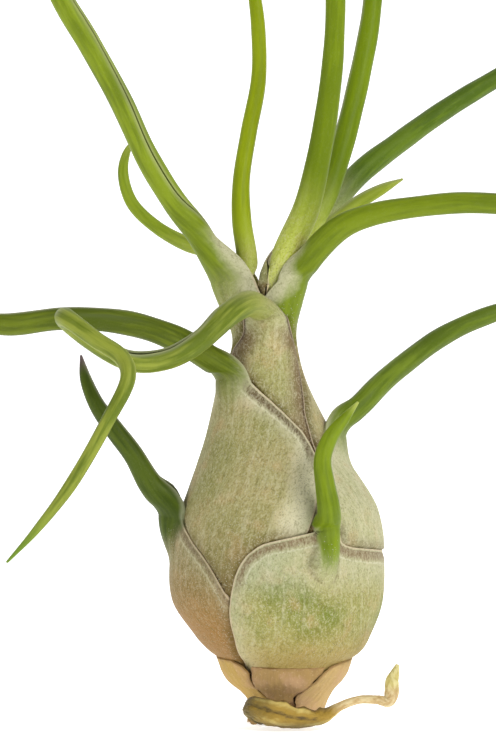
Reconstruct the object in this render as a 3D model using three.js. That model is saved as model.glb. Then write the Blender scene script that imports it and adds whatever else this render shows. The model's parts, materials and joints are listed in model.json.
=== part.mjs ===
// Bulbous air plant standing upright on its dried foot.
// Millimetres, +Z up, the viewer of the photograph looks along +Y.
import * as THREE from 'three';

// Driving dimensions: lengths in millimetres, angles in degrees.
const WALL = 0.65; // thickness of a leaf
const AIR = 0.38; // free space between one sheath and the next
const LEAN = 0.06; // how far the plant leans back for every millimetre of height
const STEM_FOOT = 4.6; // radius of the flat end of the stem
const STEM_HEIGHT = 12.4; // top of the short woody stem inside the bulb
const STEM_SIDES = 16; // facets round the stem
const GRID = 15; // angle between the columns of facets that all sheaths share
const COVER_PAST = 0.4; // an inner sheath keeps its depth this far and a facet past an outer margin
const COVER_RISE = 2.4; // and rises to the outside of the bulb over this distance
const BLADE_SIDES = 8; // facets round the outside of a rolled blade
const BLADE_CURL = 166; // half angle through which a blade is rolled
const BLADE_TIP = 0.4; // radius of the blunt end of a blade

// Outline of bulb and neck: height, radius, sideways place of the centre.
const BULB = [
  [6.8, 5, -0.2],
  [7.8, 7.4, -0.4],
  [9.6, 9.9, -0.5],
  [11.2, 11.35, -0.45],
  [12.1, 12.8, -0.4],
  [13.2, 14, -0.5],
  [15, 15.3, -0.85],
  [21.4, 18.5, -1.9],
  [30.1, 18.8, -1.9],
  [34.5, 18.2, -1.7],
  [38.9, 16.7, -1.6],
  [49.4, 11.5, -3.1],
  [59, 8, -4.4],
  [66, 5.8, -4.05],
  [74, 6, -4.3],
  [84, 6, -4.3],
];

// Heights at which every sheath has a row of facets, so that nested sheaths run alike.
const BULB_ROWS = [
  6.8, 7.8, 9.6, 11.2, 12.1, 13.2, 15, 18, 21.4, 30.1, 34.5, 38.9, 44.1, 49.4, 54.2, 59, 62.5, 66, 70,
  74, 77,
];

// Outlines of the dried cup under the bulb, in the same terms: the outer sheaths, on whose
// lower rims the plant stands, and the middle one that they overlap.
const CUP = [
  [0, 6.4, -0.6],
  [1.6, 6.45, -0.4],
  [3.9, 7.1, -0.1],
  [5.6, 8.1, -0.3],
  [7.3, 9.8, -0.6],
  [9.1, 11.1, -0.6],
  [10.4, 11.9, -0.55],
];
const CUP_INSIDE = [
  [1.6, 5.3, 0],
  [3, 5.6, -0.1],
  [3.9, 6.2, -0.1],
  [4.8, 7.45, -0.2],
  [5.6, 8.05, -0.3],
  [7.3, 9.75, -0.6],
  [9.1, 11.05, -0.6],
];

// Old dried sheaths: height, left margin, right margin.
const OLD_SHEATHS = [
  {
    name: 'old_sheath_left', color: 0xb99a6b, az: -85, outline: CUP, edges: [
      [0, -180, 8], [1.6, -180, 8], [3, -180, 6], [3.9, -180, -4], [4.8, -180, -26], [5.6, -180, -34],
      [7.3, -179, -36], [9.1, -177, -36], [10, -174, -41], [10.4, -166, -52],
    ],
  },
  {
    name: 'old_sheath_right', color: 0xc8a577, az: 95, outline: CUP, edges: [
      [0, 12, 175], [1.6, 12, 175], [3, 12, 175], [3.9, 12, 175], [4.8, 10.5, 175], [5.6, 15, 175],
      [7.3, 29, 175], [9.1, 39, 174], [10, 46, 170], [10.4, 58, 162],
    ],
  },
  {
    name: 'old_sheath_middle', color: 0xcfa88a, az: 5, outline: CUP_INSIDE, edges: [
      [1.6, -30, 40], [3, -12, 24], [3.9, 1.2, 9.2], [4.8, -21, 7.8], [5.6, -30.4, 12.4],
      [7.3, -33.4, 26.4], [9.1, -33.4, 36.4],
    ],
  },
];

// Withered lowest leaf: middle line, and radius of the crumpled roll along it.
const WITHERED = [
  [-4.3, -5.6, 0.85, 0.45],
  [-4.8, -8, 1.5, 0.5],
  [-6.6, -9.7, 4.3, 0.75],
  [-5.8, -11.3, 4.5, 1.25],
  [-3.6, -12, 3.4, 1.85],
  [-0.6, -12, 2.6, 1.8],
  [3, -11.6, 2.1, 1.45],
  [6, -10.9, 2.2, 0.95],
  [8.6, -10.2, 3.9, 0.75],
  [12, -9.9, 5.1, 0.7],
  [15.2, -9.9, 5.1, 0.78],
  [17.1, -10, 4.9, 1],
  [17.6, -9.8, 6.3, 1.3],
  [17.7, -9.6, 8.2, 1.2],
  [18.3, -9.3, 9.8, 0.75],
  [18.7, -9, 11, 0.3],
];

// Leaves from the outermost to the innermost. az is the direction of the keel, 0 to the
// viewer and 90 to the right. edges: height, left margin, right margin of the sheath.
// radius: that of the blade where it leaves the sheath. open: length over which it rolls up.
// lift: the heights between which the keel leaves the bulb, how far it comes out and half
// the width of the ridge that makes. round: how blunt that ridge is, 2 for a soft one.
// turn: share of the blade's length, and how far its groove has turned round there.
// points: middle line of the rolled blade, and its radius there.
const LEAVES = [
  {
    name: 'leaf_low_right', color: 0x7f9a52, az: 25.5, edges: [
      [6.8, -50, 100], [9.6, -44, 102], [15, -34, 106], [21.4, -27, 108], [26.6, -23, 108],
      [28.2, -21, 107.5], [29, -19.5, 104], [29.6, -18, 88], [30.3, -16.5, 62], [31.2, -14, 42],
      [32.2, -9.5, 35], [33.1, 2, 34], [34.2, 18, 33.5],
    ],
    radius: 2.1, open: 3.5, lift: [23.6, 27.4, 2.7, 2.7], round: 0.7,
    points: [
      [6.6, -19.6, 38.5, 1.95], [6, -19.6, 42.5, 1.7], [5.6, -19.4, 46.5, 1.5], [6.8, -19, 50, 1.3],
      [9.2, -18.4, 53.2, 0.95], [11.7, -17.4, 56.2, 0.4],
    ],
  },
  {
    name: 'leaf_low_left', color: 0x5f7d3c, az: -85, edges: [
      [6.8, -165, -10], [15, -162, -16], [21.4, -153, -24], [25.8, -141, -33], [28.2, -132, -39],
      [30.1, -124, -45], [32.6, -113, -56], [35.5, -101, -69],
    ],
    radius: 2.4, open: 7, lift: [27.5, 37.5, 3.7, 5.1],
    points: [
      [-24.4, -3.5, 42.3, 2.15], [-27, -4.5, 46.9, 1.85], [-30.4, -5, 51.4, 1.65],
      [-33.4, -4.5, 55.6, 1.42], [-35.4, -3, 60, 1.05], [-36.4, -1, 64.2, 0.4],
    ],
  },
  {
    name: 'leaf_mid_left', color: 0x7f9c45, az: -51, edges: [
      [6.8, -110, -5], [15, -124, 2], [21.4, -134, 6], [25.8, -140, 10], [34.5, -147, 16],
      [38.9, -150, 22], [44.1, -150, 33], [46.9, -146, 37], [49.4, -141, 36], [51.2, -136, 33],
      [54.2, -122, 20], [56.4, -108, 8], [59.5, -87, -15],
    ],
    radius: 2.3, open: 7, lift: [54, 61.5, 2.2, 5.2],
    points: [
      [-15.4, -10.5, 64.8, 2.3], [-21.5, -15.5, 67.9, 2.2], [-28.4, -19.5, 69.8, 2.1],
      [-38, -23, 70.3, 1.95], [-48, -25, 69.3, 1.88], [-56, -25.5, 70.9, 1.6], [-62, -24, 75.6, 1.1],
      [-65, -20, 81, 0.4],
    ],
  },
  {
    name: 'leaf_mid_right', color: 0x7a9845, az: 80, edges: [
      [6.8, 40, 170], [15, 29, 195], [21.4, 16, 212], [25.8, 10, 221], [30.1, 7, 225], [34.5, 5, 222],
      [38.9, 7, 210], [41.5, 12, 197], [44.1, 21, 178], [45.6, 29, 161], [46.9, 37, 143],
      [48.2, 47, 123], [49.3, 55, 105],
    ],
    radius: 2, open: 7, lift: [44, 51.3, 2.6, 5.1],
    points: [
      [13.9, 0, 56.6, 2], [17, 3, 59.6, 1.95], [20.8, 7, 62.6, 1.88], [27.7, 13, 67.4, 1.8],
      [35.3, 18, 71, 1.68], [43.5, 22, 73.4, 1.4], [52, 26, 73.6, 1], [60, 29, 71, 0.7],
      [65, 31, 66, 0.4],
    ],
  },
  {
    name: 'leaf_front', color: 0x86a544, az: 4, edges: [
      [6.8, -36, 44], [15, -30, 42], [44.1, -30, 38], [49.4, -30, 41], [54.2, -30, 47], [58, -35, 60],
      [61, -58, 71], [63, -80, 77], [64.8, -83, 79], [66.2, -67, 75], [67.4, -50, 68], [68.8, -42, 58],
      [70.6, -38, 44],
    ],
    radius: 2.3, open: 5.5, lift: [64.5, 72.6, 2.4, 5.2],
    turn: [[0, 0], [0.15, 0], [0.6, -130], [1, -130]],
    points: [
      [-6.8, -14.2, 73, 2.25], [-10.4, -19.5, 71, 2.1], [-15.2, -25.2, 66.4, 1.9],
      [-20.5, -29.5, 63.5, 1.82], [-26.5, -33.5, 63.2, 1.75], [-32.5, -38.5, 66.6, 1.7],
      [-36.2, -43.5, 69.8, 1.62], [-35.6, -48.3, 69.8, 1.5], [-31.2, -51.5, 66.6, 1.38],
      [-26.6, -54, 63.4, 1.3], [-25.7, -56.4, 60.4, 1.2], [-28.8, -57, 53.8, 1.12],
      [-34.8, -54, 43.6, 0.98], [-40.4, -50.5, 36.4, 0.66], [-45.2, -47, 31.2, 0.4],
    ],
  },
  {
    name: 'leaf_upper_left', color: 0x86a041, az: -82, edges: [
      [6.8, -120, -44], [25.8, -120, -44], [30.1, -130, -44], [34.5, -148, -44], [38.9, -170, -44],
      [44.1, -190, -42], [52, -198, -30], [58, -198, -8], [62.5, -196, 7], [70, -184, 6], [72, -174, 3],
      [74, -162, -1], [77, -140, -14],
    ],
    radius: 2.35, open: 9, lift: [66.6, 79, 3.6, 6],
    turn: [[0, 0], [0.08, 0], [0.2, -58], [0.5, -42], [1, -30]],
    points: [
      [-15.4, -4.2, 85.2, 2.3], [-19.7, -6, 90.8, 2.22], [-24.4, -8.6, 98.4, 2.08],
      [-29.2, -11, 108.6, 2.02], [-34.4, -12.6, 118, 2.05], [-40.4, -13.4, 128.6, 1.92],
      [-42.7, -11, 141.2, 1.6], [-38.9, -6, 152.2, 1.15], [-31, 0, 158, 0.4],
    ],
  },
  {
    name: 'leaf_upper_right', color: 0x7f9c40, az: 56, edges: [
      [6.8, 50, 100], [15, 26, 100], [25.8, 24, 104], [34.5, 24, 124], [38.9, 24, 138], [44.1, 24, 156],
      [52, 14, 174], [58, 0, 178], [62.5, -10, 178], [66, -11, 174], [68, -11, 166], [70, -10, 155],
      [72, -8, 137], [74, -1, 119], [77, 22, 98],
    ],
    radius: 2.3, open: 6, lift: [67, 79, 3, 5.4],
    points: [
      [5.5, -7.2, 83.2, 2.3], [9.6, -8.6, 86.7, 2.2], [14.6, -9.8, 88.6, 1.98], [22, -12, 89.8, 1.86],
      [31, -14, 90.4, 1.86], [41, -15, 89.4, 1.72], [50, -15, 86.1, 1.38], [57.5, -13, 80, 0.85],
      [61.5, -9.5, 73.5, 0.4],
    ],
  },
  {
    name: 'leaf_back_right', color: 0x5f7d3e, az: 145, edges: [
      [6.8, 124, 168], [44.1, 124, 168], [58, 122, 170], [66, 122, 172], [72, 126, 172], [76, 130, 172],
    ],
    radius: 1.85, open: 7,
    turn: [[0, 0], [0.1, 0], [0.3, -80], [1, -80]],
    points: [
      [-2.5, 7.2, 80, 1.85], [2, 9.7, 85.4, 1.95], [8, 12.6, 91.6, 2.1], [13.6, 16, 97.8, 2.12],
      [20.8, 21, 103.6, 2.05], [28.6, 27, 109.5, 1.9], [36.6, 32, 114.8, 1.85], [45, 37, 119.6, 1.68],
      [54, 41, 122.2, 1.4], [62.5, 43.5, 121.4, 0.95], [69, 44.5, 117, 0.4],
    ],
  },
  {
    name: 'leaf_curl', color: 0x8aa545, az: -152, edges: [
      [6.8, -172, -130], [44.1, -172, -130], [66, -173, -130], [72, -172, -132], [76, -172, -134],
    ],
    radius: 1.2, open: 4,
    turn: [[0, 0], [0.1, 0], [0.3, 100], [1, 100]],
    points: [
      [-7.8, 6.8, 79.6, 1.35], [-12.2, 9, 82.7, 1.45], [-18, 10.6, 84.4, 1.35],
      [-23.9, 12.6, 87.8, 1.25], [-28.2, 14, 92.2, 1.12], [-29.8, 15, 97.6, 0.98],
      [-29.2, 14.6, 101.2, 0.7], [-27.6, 13.6, 103.8, 0.4],
    ],
  },
  {
    name: 'leaf_tall_back', color: 0x93ae38, az: 96, edges: [
      [6.8, 74, 116], [44.1, 74, 116], [66, 72, 116], [76, 76, 114],
    ],
    radius: 1.75, open: 7,
    points: [
      [0.9, 2, 80.6, 1.8], [4.2, 3.8, 87, 1.88], [7.5, 6.2, 94, 1.95], [10.6, 10, 104, 2],
      [13.4, 13.2, 115.4, 1.95], [15.6, 15.8, 127, 1.8], [16.4, 17.6, 140, 1.5], [14.6, 18.6, 152, 1],
      [11.4, 18.8, 160, 0.4],
    ],
  },
  {
    name: 'leaf_thin', color: 0xa2b52f, az: -75, edges: [
      [6.8, -100, -50], [44.1, -100, -50], [58, -106, -44], [66, -112, -38], [72, -112, -38],
      [76, -110, -40],
    ],
    radius: 1.85, open: 6,
    points: [
      [-7.2, -0.4, 81.4, 1.9], [-8.1, 1, 88, 1.72], [-8.2, 3, 95.2, 1.55], [-6.9, 5, 104, 1.48],
      [-5.1, 6.8, 114, 1.38], [-5.2, 8, 124, 1.28], [-6.4, 9, 134, 1.02], [-7.2, 8, 146, 0.4],
    ],
  },
  {
    name: 'leaf_short', color: 0x8fae3c, az: 125, edges: [
      [6.8, 108, 136], [44.1, 108, 136], [66, 108, 140], [76, 110, 140],
    ],
    radius: 0.9, open: 4,
    points: [
      [-0.4, 4.4, 80, 0.95], [3.2, 6.3, 84, 1.1], [8.4, 7.3, 88.4, 1.25], [13.2, 8.6, 92, 1.25],
      [17.2, 9.6, 94.3, 1], [21, 11, 96.2, 0.4],
    ],
  },
  {
    name: 'leaf_tall_front', color: 0x9bb535, az: 30, edges: [
      [6.8, 8, 52], [44.1, 8, 52], [58, 4, 56], [66, 0, 60], [72, 4, 58], [76, 6, 56],
    ],
    radius: 2.1, open: 7,
    points: [
      [-0.5, -3, 82, 2.3], [3.1, -4, 89.6, 2.4], [5.3, -5.4, 98.4, 2.15], [7, -7, 108.4, 1.98],
      [8, -8.8, 118.4, 1.82], [8.1, -11, 130, 1.65], [6.3, -13.4, 142.6, 1.35], [2.6, -15, 153, 0.85],
      [-2, -15.4, 160, 0.4],
    ],
  },
  {
    name: 'leaf_sprout', color: 0x8c9c4a, az: 0, edges: [
      [6.8, -18, 18], [44.1, -18, 18], [66, -20, 18], [73, -22, 18], [75, -18, 16], [76.6, -10, 10],
    ],
    radius: 0.8, open: 2.5,
    points: [
      [-4.3, -4.3, 78.2, 0.7], [-4.1, -4.4, 79.4, 0.5], [-3.9, -4.4, 80.6, 0.4],
    ],
  },
];

const rad = (degrees) => degrees * Math.PI / 180;
const mix = (a, b, k) => a + (b - a) * k;
const clamp01 = (k) => Math.min(1, Math.max(0, k));

function smooth(from, to, x) {
  const k = clamp01((x - from) / (to - from));
  return k * k * (3 - 2 * k);
}

// Straight reading of one column of a table whose first column rises.
function straightAt(table, x, column) {
  let i = 1;
  while (i < table.length - 1 && x > table[i][0]) i += 1;
  const k = clamp01((x - table[i - 1][0]) / (table[i][0] - table[i - 1][0]));
  return mix(table[i - 1][column], table[i][column], k);
}

// Smooth reading of the same kind of table.
function curvedAt(table, x, column) {
  const slope = (i) => {
    const a = table[Math.max(0, i - 1)];
    const b = table[Math.min(table.length - 1, i + 1)];
    return (b[column] - a[column]) / (b[0] - a[0]);
  };
  let i = 1;
  while (i < table.length - 1 && x > table[i][0]) i += 1;
  const p = table[i - 1];
  const q = table[i];
  const h = q[0] - p[0];
  const k = clamp01((x - p[0]) / h);
  const k2 = k * k;
  const k3 = k2 * k;
  return (2 * k3 - 3 * k2 + 1) * p[column] + (k3 - 2 * k2 + k) * h * slope(i - 1)
    + (3 * k2 - 2 * k3) * q[column] + (k3 - k2) * h * slope(i);
}

// A point a given depth inside the outline, square to it.
function onOutline(outline, angle, height, depth) {
  const low = Math.max(outline[0][0], height - 0.1);
  const high = Math.min(outline[outline.length - 1][0], height + 0.1);
  const slope = (curvedAt(outline, high, 1) - curvedAt(outline, low, 1)) / (high - low);
  const size = Math.hypot(1, slope);
  const r = curvedAt(outline, height, 1) - depth / size;
  const a = rad(angle);
  return new THREE.Vector3(
    curvedAt(outline, height, 2) + r * Math.sin(a),
    -r * Math.cos(a),
    height + depth * slope / size,
  );
}

// Distance along the surface from a place to the margin of a sheath, negative inside it.
function fromMargin(edges, place, height, radius) {
  const top = edges[edges.length - 1];
  const ring = edges.map((e) => [e[1], e[0]]);
  ring.unshift([edges[0][1], -50]);
  edges.slice().reverse().forEach((e) => ring.push([e[2], e[0]]));
  ring.push([edges[0][2], -50]);
  const middle = (straightAt(edges, height, 1) + straightAt(edges, height, 2)) / 2;
  const angle = place - 360 * Math.round((place - middle) / 360);
  const inside = height < top[0]
    && angle > straightAt(edges, height, 1) && angle < straightAt(edges, height, 2);
  const scale = rad(1) * radius;
  let best = 1e9;
  for (let i = 0; i + 1 < ring.length; i += 1) {
    const ax = (ring[i][0] - angle) * scale;
    const ay = ring[i][1] - height;
    const bx = (ring[i + 1][0] - angle) * scale;
    const by = ring[i + 1][1] - height;
    const dx = bx - ax;
    const dy = by - ay;
    const k = clamp01(-(ax * dx + ay * dy) / (dx * dx + dy * dy));
    best = Math.min(best, Math.hypot(ax + dx * k, ay + dy * k));
  }
  return inside ? -best : best;
}

// How deep a sheath lies: one step for every outer sheath that covers the place.
function depthOfCovers(outer, angle, height) {
  const radius = curvedAt(BULB, height, 1);
  const near = COVER_PAST + rad(GRID) * radius;
  return outer.reduce((sum, edges) => {
    const away = fromMargin(edges, angle, height, radius);
    return sum + (WALL + AIR) * (1 - smooth(near, near + COVER_RISE, away));
  }, 0);
}

// The same depth read straight between the columns and rows that all sheaths share.
function depthUnder(outer, angle, height) {
  const a = Math.floor(angle / GRID) * GRID;
  let i = 1;
  while (i < BULB_ROWS.length - 1 && height > BULB_ROWS[i]) i += 1;
  const low = BULB_ROWS[i - 1];
  const high = BULB_ROWS[i];
  const k = (angle - a) / GRID;
  const below = mix(depthOfCovers(outer, a, low), depthOfCovers(outer, a + GRID, low), k);
  const above = mix(depthOfCovers(outer, a, high), depthOfCovers(outer, a + GRID, high), k);
  return mix(below, above, clamp01((height - low) / (high - low)));
}

// One strip of triangles between two rows of points, matched by angle or by u.
function stitch(faces, rowA, rowB, flip) {
  const by = rowA[0].angle === undefined || rowB[0].angle === undefined ? 'u' : 'angle';
  let i = 0;
  let j = 0;
  while (i + 1 < rowA.length || j + 1 < rowB.length) {
    const nextA = i + 1 < rowA.length ? rowA[i + 1][by] : 999;
    const nextB = j + 1 < rowB.length ? rowB[j + 1][by] : 999;
    const a = rowA[i].p;
    const b = rowB[j].p;
    let c;
    if (nextA <= nextB) {
      i += 1;
      c = rowA[i].p;
    } else {
      j += 1;
      c = rowB[j].p;
    }
    faces.push(flip ? [a, b, c] : [a, c, b]);
  }
}

// Closed body from rows of a leaf, each with an outer and an inner line of points.
function bodyFromRows(rows) {
  const faces = [];
  for (let k = 0; k + 1 < rows.length; k += 1) {
    const a = rows[k];
    const b = rows[k + 1];
    stitch(faces, a.outer, b.outer, false);
    stitch(faces, a.inner, b.inner, true);
    const ends = [0, -1];
    ends.forEach((end) => {
      const ao = a.outer.at(end).p;
      const ai = a.inner.at(end).p;
      const bo = b.outer.at(end).p;
      const bi = b.inner.at(end).p;
      if (end === 0) faces.push([ao, bo, bi], [ao, bi, ai]);
      else faces.push([ao, bi, bo], [ao, ai, bi]);
    });
  }
  stitch(faces, rows[0].outer, rows[0].inner, true);
  stitch(faces, rows.at(-1).outer, rows.at(-1).inner, false);
  return geometryOf(faces);
}

function geometryOf(faces) {
  const places = [];
  faces.forEach((f) => f.forEach((p) => places.push(p.x, p.y + LEAN * p.z, p.z)));
  const geometry = new THREE.BufferGeometry();
  geometry.setAttribute('position', new THREE.Float32BufferAttribute(places, 3));
  geometry.computeVertexNormals();
  return geometry;
}

// Heights of the rows of a sheath: the shared rows of the bulb and the leaf's own corners.
function rowHeights(edges) {
  const top = edges.at(-1)[0];
  const own = edges.map((e) => e[0]);
  const shared = BULB_ROWS.filter((h) => h < top && own.every((o) => Math.abs(o - h) > 1));
  return [...own, ...shared].sort((a, b) => a - b);
}

// The angles of a sheath's columns at one height: margins, keel and the shared columns.
function columnAngles(leaf, height) {
  const left = straightAt(leaf.edges, height, 1);
  const right = straightAt(leaf.edges, height, 2);
  const own = [left, leaf.az, right];
  if (leaf.lift && height > leaf.lift[0]) {
    const beside = leaf.lift[3] * 0.55 / rad(curvedAt(BULB, height, 1));
    own.push(leaf.az - beside, leaf.az + beside);
    if (leaf.round) own.push(leaf.az - 1.7 * beside, leaf.az + 1.7 * beside);
  }
  const fixed = own.length;
  for (let a = Math.ceil(left / GRID) * GRID; a < right; a += GRID) {
    if (own.slice(0, fixed).every((o) => Math.abs(o - a) > 4)) own.push(a);
  }
  return own.sort((a, b) => a - b);
}

// The row of a sheath at one height.
function sheathRow(leaf, outer, outline, height, angles) {
  const left = angles[0];
  const right = angles.at(-1);
  const radius = curvedAt(outline, height, 1);
  const [from, to, out, half] = leaf.lift ?? [0, 1, 0, 1];
  const rise = out * smooth(from, to, height);
  const row = { outer: [], inner: [] };
  angles.forEach((angle) => {
    const reach = angle < leaf.az ? leaf.az - left : right - leaf.az;
    const u = (angle - leaf.az) / reach;
    const depth = outer ? depthUnder(outer, angle, height) : 0;
    const away = rad(angle - leaf.az) * radius / half;
    const bump = rise * (1 - Math.min(1, away * away)) ** (leaf.round ?? 2);
    row.outer.push({ u, angle, p: onOutline(outline, angle, height, depth - bump) });
    row.inner.push({ u, angle, p: onOutline(outline, angle, height, depth - bump + WALL) });
  });
  return row;
}

// The rolled section of a blade: an arc of the given radius, open towards the groove.
function rolledRow(middle, side, groove, radius, half, columns) {
  const inside = Math.max(0.12, radius - WALL);
  const curl = Math.min(half / radius, rad(BLADE_CURL));
  const line = (r, count) => Array.from({ length: count }, (_, i) => {
    const u = -1 + 2 * i / (count - 1);
    const p = middle.clone().addScaledVector(side, r * Math.sin(u * curl));
    return { u, p: p.addScaledVector(groove, -r * Math.cos(u * curl)) };
  });
  return { outer: line(radius, columns), inner: line(inside, columns - 2) };
}

// Smooth reading between values that stand at places 0, 1, 2 and so on.
function between(values, place) {
  const i = Math.min(values.length - 2, Math.floor(place));
  const k = place - i;
  const b = values[i];
  const c = values[i + 1];
  const a = i > 0 ? values[i - 1] : 2 * b - c;
  const d = i + 2 < values.length ? values[i + 2] : 2 * c - b;
  return b + 0.5 * k * (c - a + k * (2 * a - 5 * b + 4 * c - d + k * (3 * (b - c) + d - a)));
}

// Rows of the blade, beginning with the top row of the sheath.
function bladeRows(leaf, top, outer) {
  const height = leaf.edges.at(-1)[0];
  const keelOf = (row) => row.outer.find((q) => q.angle === leaf.az).p;
  const keel = keelOf(top);
  const below = keelOf(sheathRow(leaf, outer, BULB, height - 4, columnAngles(leaf, height - 4)));
  const start = new THREE.Vector3(-Math.sin(rad(leaf.az)), Math.cos(rad(leaf.az)), 0);
  const points = [below, keel].map((p) => p.clone().addScaledVector(start, leaf.radius));
  leaf.points.forEach(([x, y, z]) => points.push(new THREE.Vector3(x, y, z)));
  const radii = [leaf.radius, leaf.radius, ...leaf.points.map((p) => p[3])];
  const path = new THREE.CatmullRomCurve3(points, false, 'centripetal');
  const spans = points.length - 1;
  const length = [0];
  const samples = [];
  const fine = 12;
  const groove = start.clone();
  for (let i = 0; i <= (spans - 1) * fine; i += 1) {
    const t = (1 + i / fine) / spans;
    const along = path.getTangent(t);
    const middle = path.getPoint(t);
    groove.addScaledVector(along, -groove.dot(along)).normalize();
    samples.push({ middle, along, groove: groove.clone() });
    if (i > 0) length.push(length[i - 1] + middle.distanceTo(samples[i - 1].middle));
  }
  const whole = length.at(-1);
  const layerRadius = curvedAt(BULB, height, 1) - depthUnder(outer, leaf.az, height);
  const half = rad(BLADE_CURL) * leaf.radius;
  const columns = BLADE_SIDES + 1;
  const level = start.clone();
  const sideStart = new THREE.Vector3(Math.cos(rad(leaf.az)), Math.sin(rad(leaf.az)), 0);
  // What the top row of the sheath adds to a plain arc, let go along the opening stretch.
  const plain = rolledRow(keel.clone().addScaledVector(level, layerRadius), sideStart, level,
    layerRadius, half, columns);
  const [, left, right] = leaf.edges.at(-1);
  const spread = Array.from({ length: columns }, (_, i) => mix(left, right, i / (columns - 1)));
  const first = sheathRow({ ...leaf, az: mix(left, right, 0.5) }, outer, BULB, height, spread);
  const extra = { outer: first.outer.map((q, i) => q.p.clone().sub(plain.outer[i].p)) };
  extra.inner = plain.inner.map((_, i) => extra.outer[Math.round(i * (columns - 1) / (columns - 3))]);
  const rows = [];
  for (let i = fine / 2; i < samples.length; i += fine / 2) {
    const s = samples[i];
    const share = length[i] / whole;
    const opened = smooth(0, leaf.open, length[i]);
    const own = Math.max(BLADE_TIP, between(radii, 1 + i / fine));
    const turn = leaf.turn ? curvedAt(leaf.turn, share, 1) : 0;
    const turned = s.groove.clone().applyAxisAngle(s.along, rad(turn));
    const facing = level.clone().lerp(turned, opened).normalize();
    const side = new THREE.Vector3().crossVectors(turned, s.along).normalize();
    const across = sideStart.clone().lerp(side, opened).normalize();
    const radius = 1 / mix(1 / layerRadius, 1 / own, opened);
    const middle = s.middle.clone().addScaledVector(facing, radius - own);
    const row = rolledRow(middle, across, facing, radius, rad(BLADE_CURL) * own, columns);
    ['outer', 'inner'].forEach((name) => {
      row[name].forEach((q, j) => q.p.addScaledVector(extra[name][j], 1 - opened));
    });
    rows.push(row);
  }
  return rows;
}

const group = new THREE.Group();
group.name = 'air_plant';

function addPiece(name, geometry, color, roughness) {
  const material = new THREE.MeshStandardMaterial({ color, roughness, metalness: 0 });
  material.name = `${name}_surface`;
  const mesh = new THREE.Mesh(geometry, material);
  mesh.name = name;
  group.add(mesh);
}

// Leaves: a clasping sheath that narrows and rolls up into a blade, grown as one piece.
const outerEdges = [];
LEAVES.forEach((leaf) => {
  const heights = rowHeights(leaf.edges);
  const rows = heights.map((h) => sheathRow(leaf, outerEdges, BULB, h, columnAngles(leaf, h)));
  rows.push(...bladeRows(leaf, rows.at(-1), outerEdges));
  addPiece(leaf.name, bodyFromRows(rows), leaf.color, 0.6);
  outerEdges.push(leaf.edges);
});

// Old sheaths: dried, split remains of earlier leaves that hold the bulb like a cup.
OLD_SHEATHS.forEach((old) => {
  const rows = old.edges.map((e) => sheathRow(old, null, old.outline, e[0], columnAngles(old, e[0])));
  addPiece(old.name, bodyFromRows(rows), old.color, 0.8);
});

// Withered leaf: crumpled over itself in front of the foot, its thin end dried to a hook.
function witheredRows() {
  const path = new THREE.CatmullRomCurve3(WITHERED.map((p) => new THREE.Vector3(p[0], p[1], p[2])),
    false, 'centripetal');
  const spans = WITHERED.length - 1;
  const groove = new THREE.Vector3(0, -0.5, 0.85);
  const rows = [];
  for (let i = 0; i <= spans * 12; i += 1) {
    const t = i / (spans * 12);
    const along = path.getTangent(t);
    groove.addScaledVector(along, -groove.dot(along)).normalize();
    const side = new THREE.Vector3().crossVectors(groove, along).normalize();
    const place = i / 12;
    const k = Math.min(spans - 1, Math.floor(place));
    const radius = mix(WITHERED[k][3], WITHERED[k + 1][3], place - k);
    const fold = 1 + 0.1 * Math.sin(place * 2.3);
    if (i % 8 === 0) {
      rows.push(rolledRow(path.getPoint(t), side, groove, radius * fold, rad(140) * radius, 9));
    }
  }
  return rows;
}
addPiece('withered_leaf', bodyFromRows(witheredRows()), 0xa88c3a, 0.8);

// Stem: short and woody, flat below where it was picked, narrowing into the bulb.
const stemRings = [
  [0, STEM_FOOT],
  [1.2, STEM_FOOT - 0.1],
  [5, STEM_FOOT - 0.3],
  [7, STEM_FOOT - 0.5],
  [STEM_HEIGHT - 1, 2.6],
  [STEM_HEIGHT, 1.6],
];

function stemGeometry() {
  const rings = stemRings.map(([height, radius]) => Array.from({ length: STEM_SIDES }, (_, i) => {
    const a = 2 * Math.PI * i / STEM_SIDES;
    const r = radius * (1 + 0.02 * Math.sin(3 * a + height));
    return new THREE.Vector3(r * Math.sin(a) - 0.02 * height, -r * Math.cos(a), height);
  }));
  const faces = [];
  const bottom = new THREE.Vector3(0, 0, 0);
  const top = new THREE.Vector3(-0.02 * STEM_HEIGHT, 0, STEM_HEIGHT);
  for (let i = 0; i < STEM_SIDES; i += 1) {
    const j = (i + 1) % STEM_SIDES;
    for (let k = 0; k + 1 < rings.length; k += 1) {
      const [a, b, c, d] = [rings[k][i], rings[k][j], rings[k + 1][j], rings[k + 1][i]];
      faces.push([a, b, c], [a, c, d]);
    }
    faces.push([bottom, rings[0][j], rings[0][i]], [top, rings.at(-1)[i], rings.at(-1)[j]]);
  }
  return faces;
}
addPiece('stem', geometryOf(stemGeometry()), 0x6b4f33, 0.9);

export default group;
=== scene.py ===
# Bulbous air plant, dressed over its solids, and standing on a pale floor.
import json
import math

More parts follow.
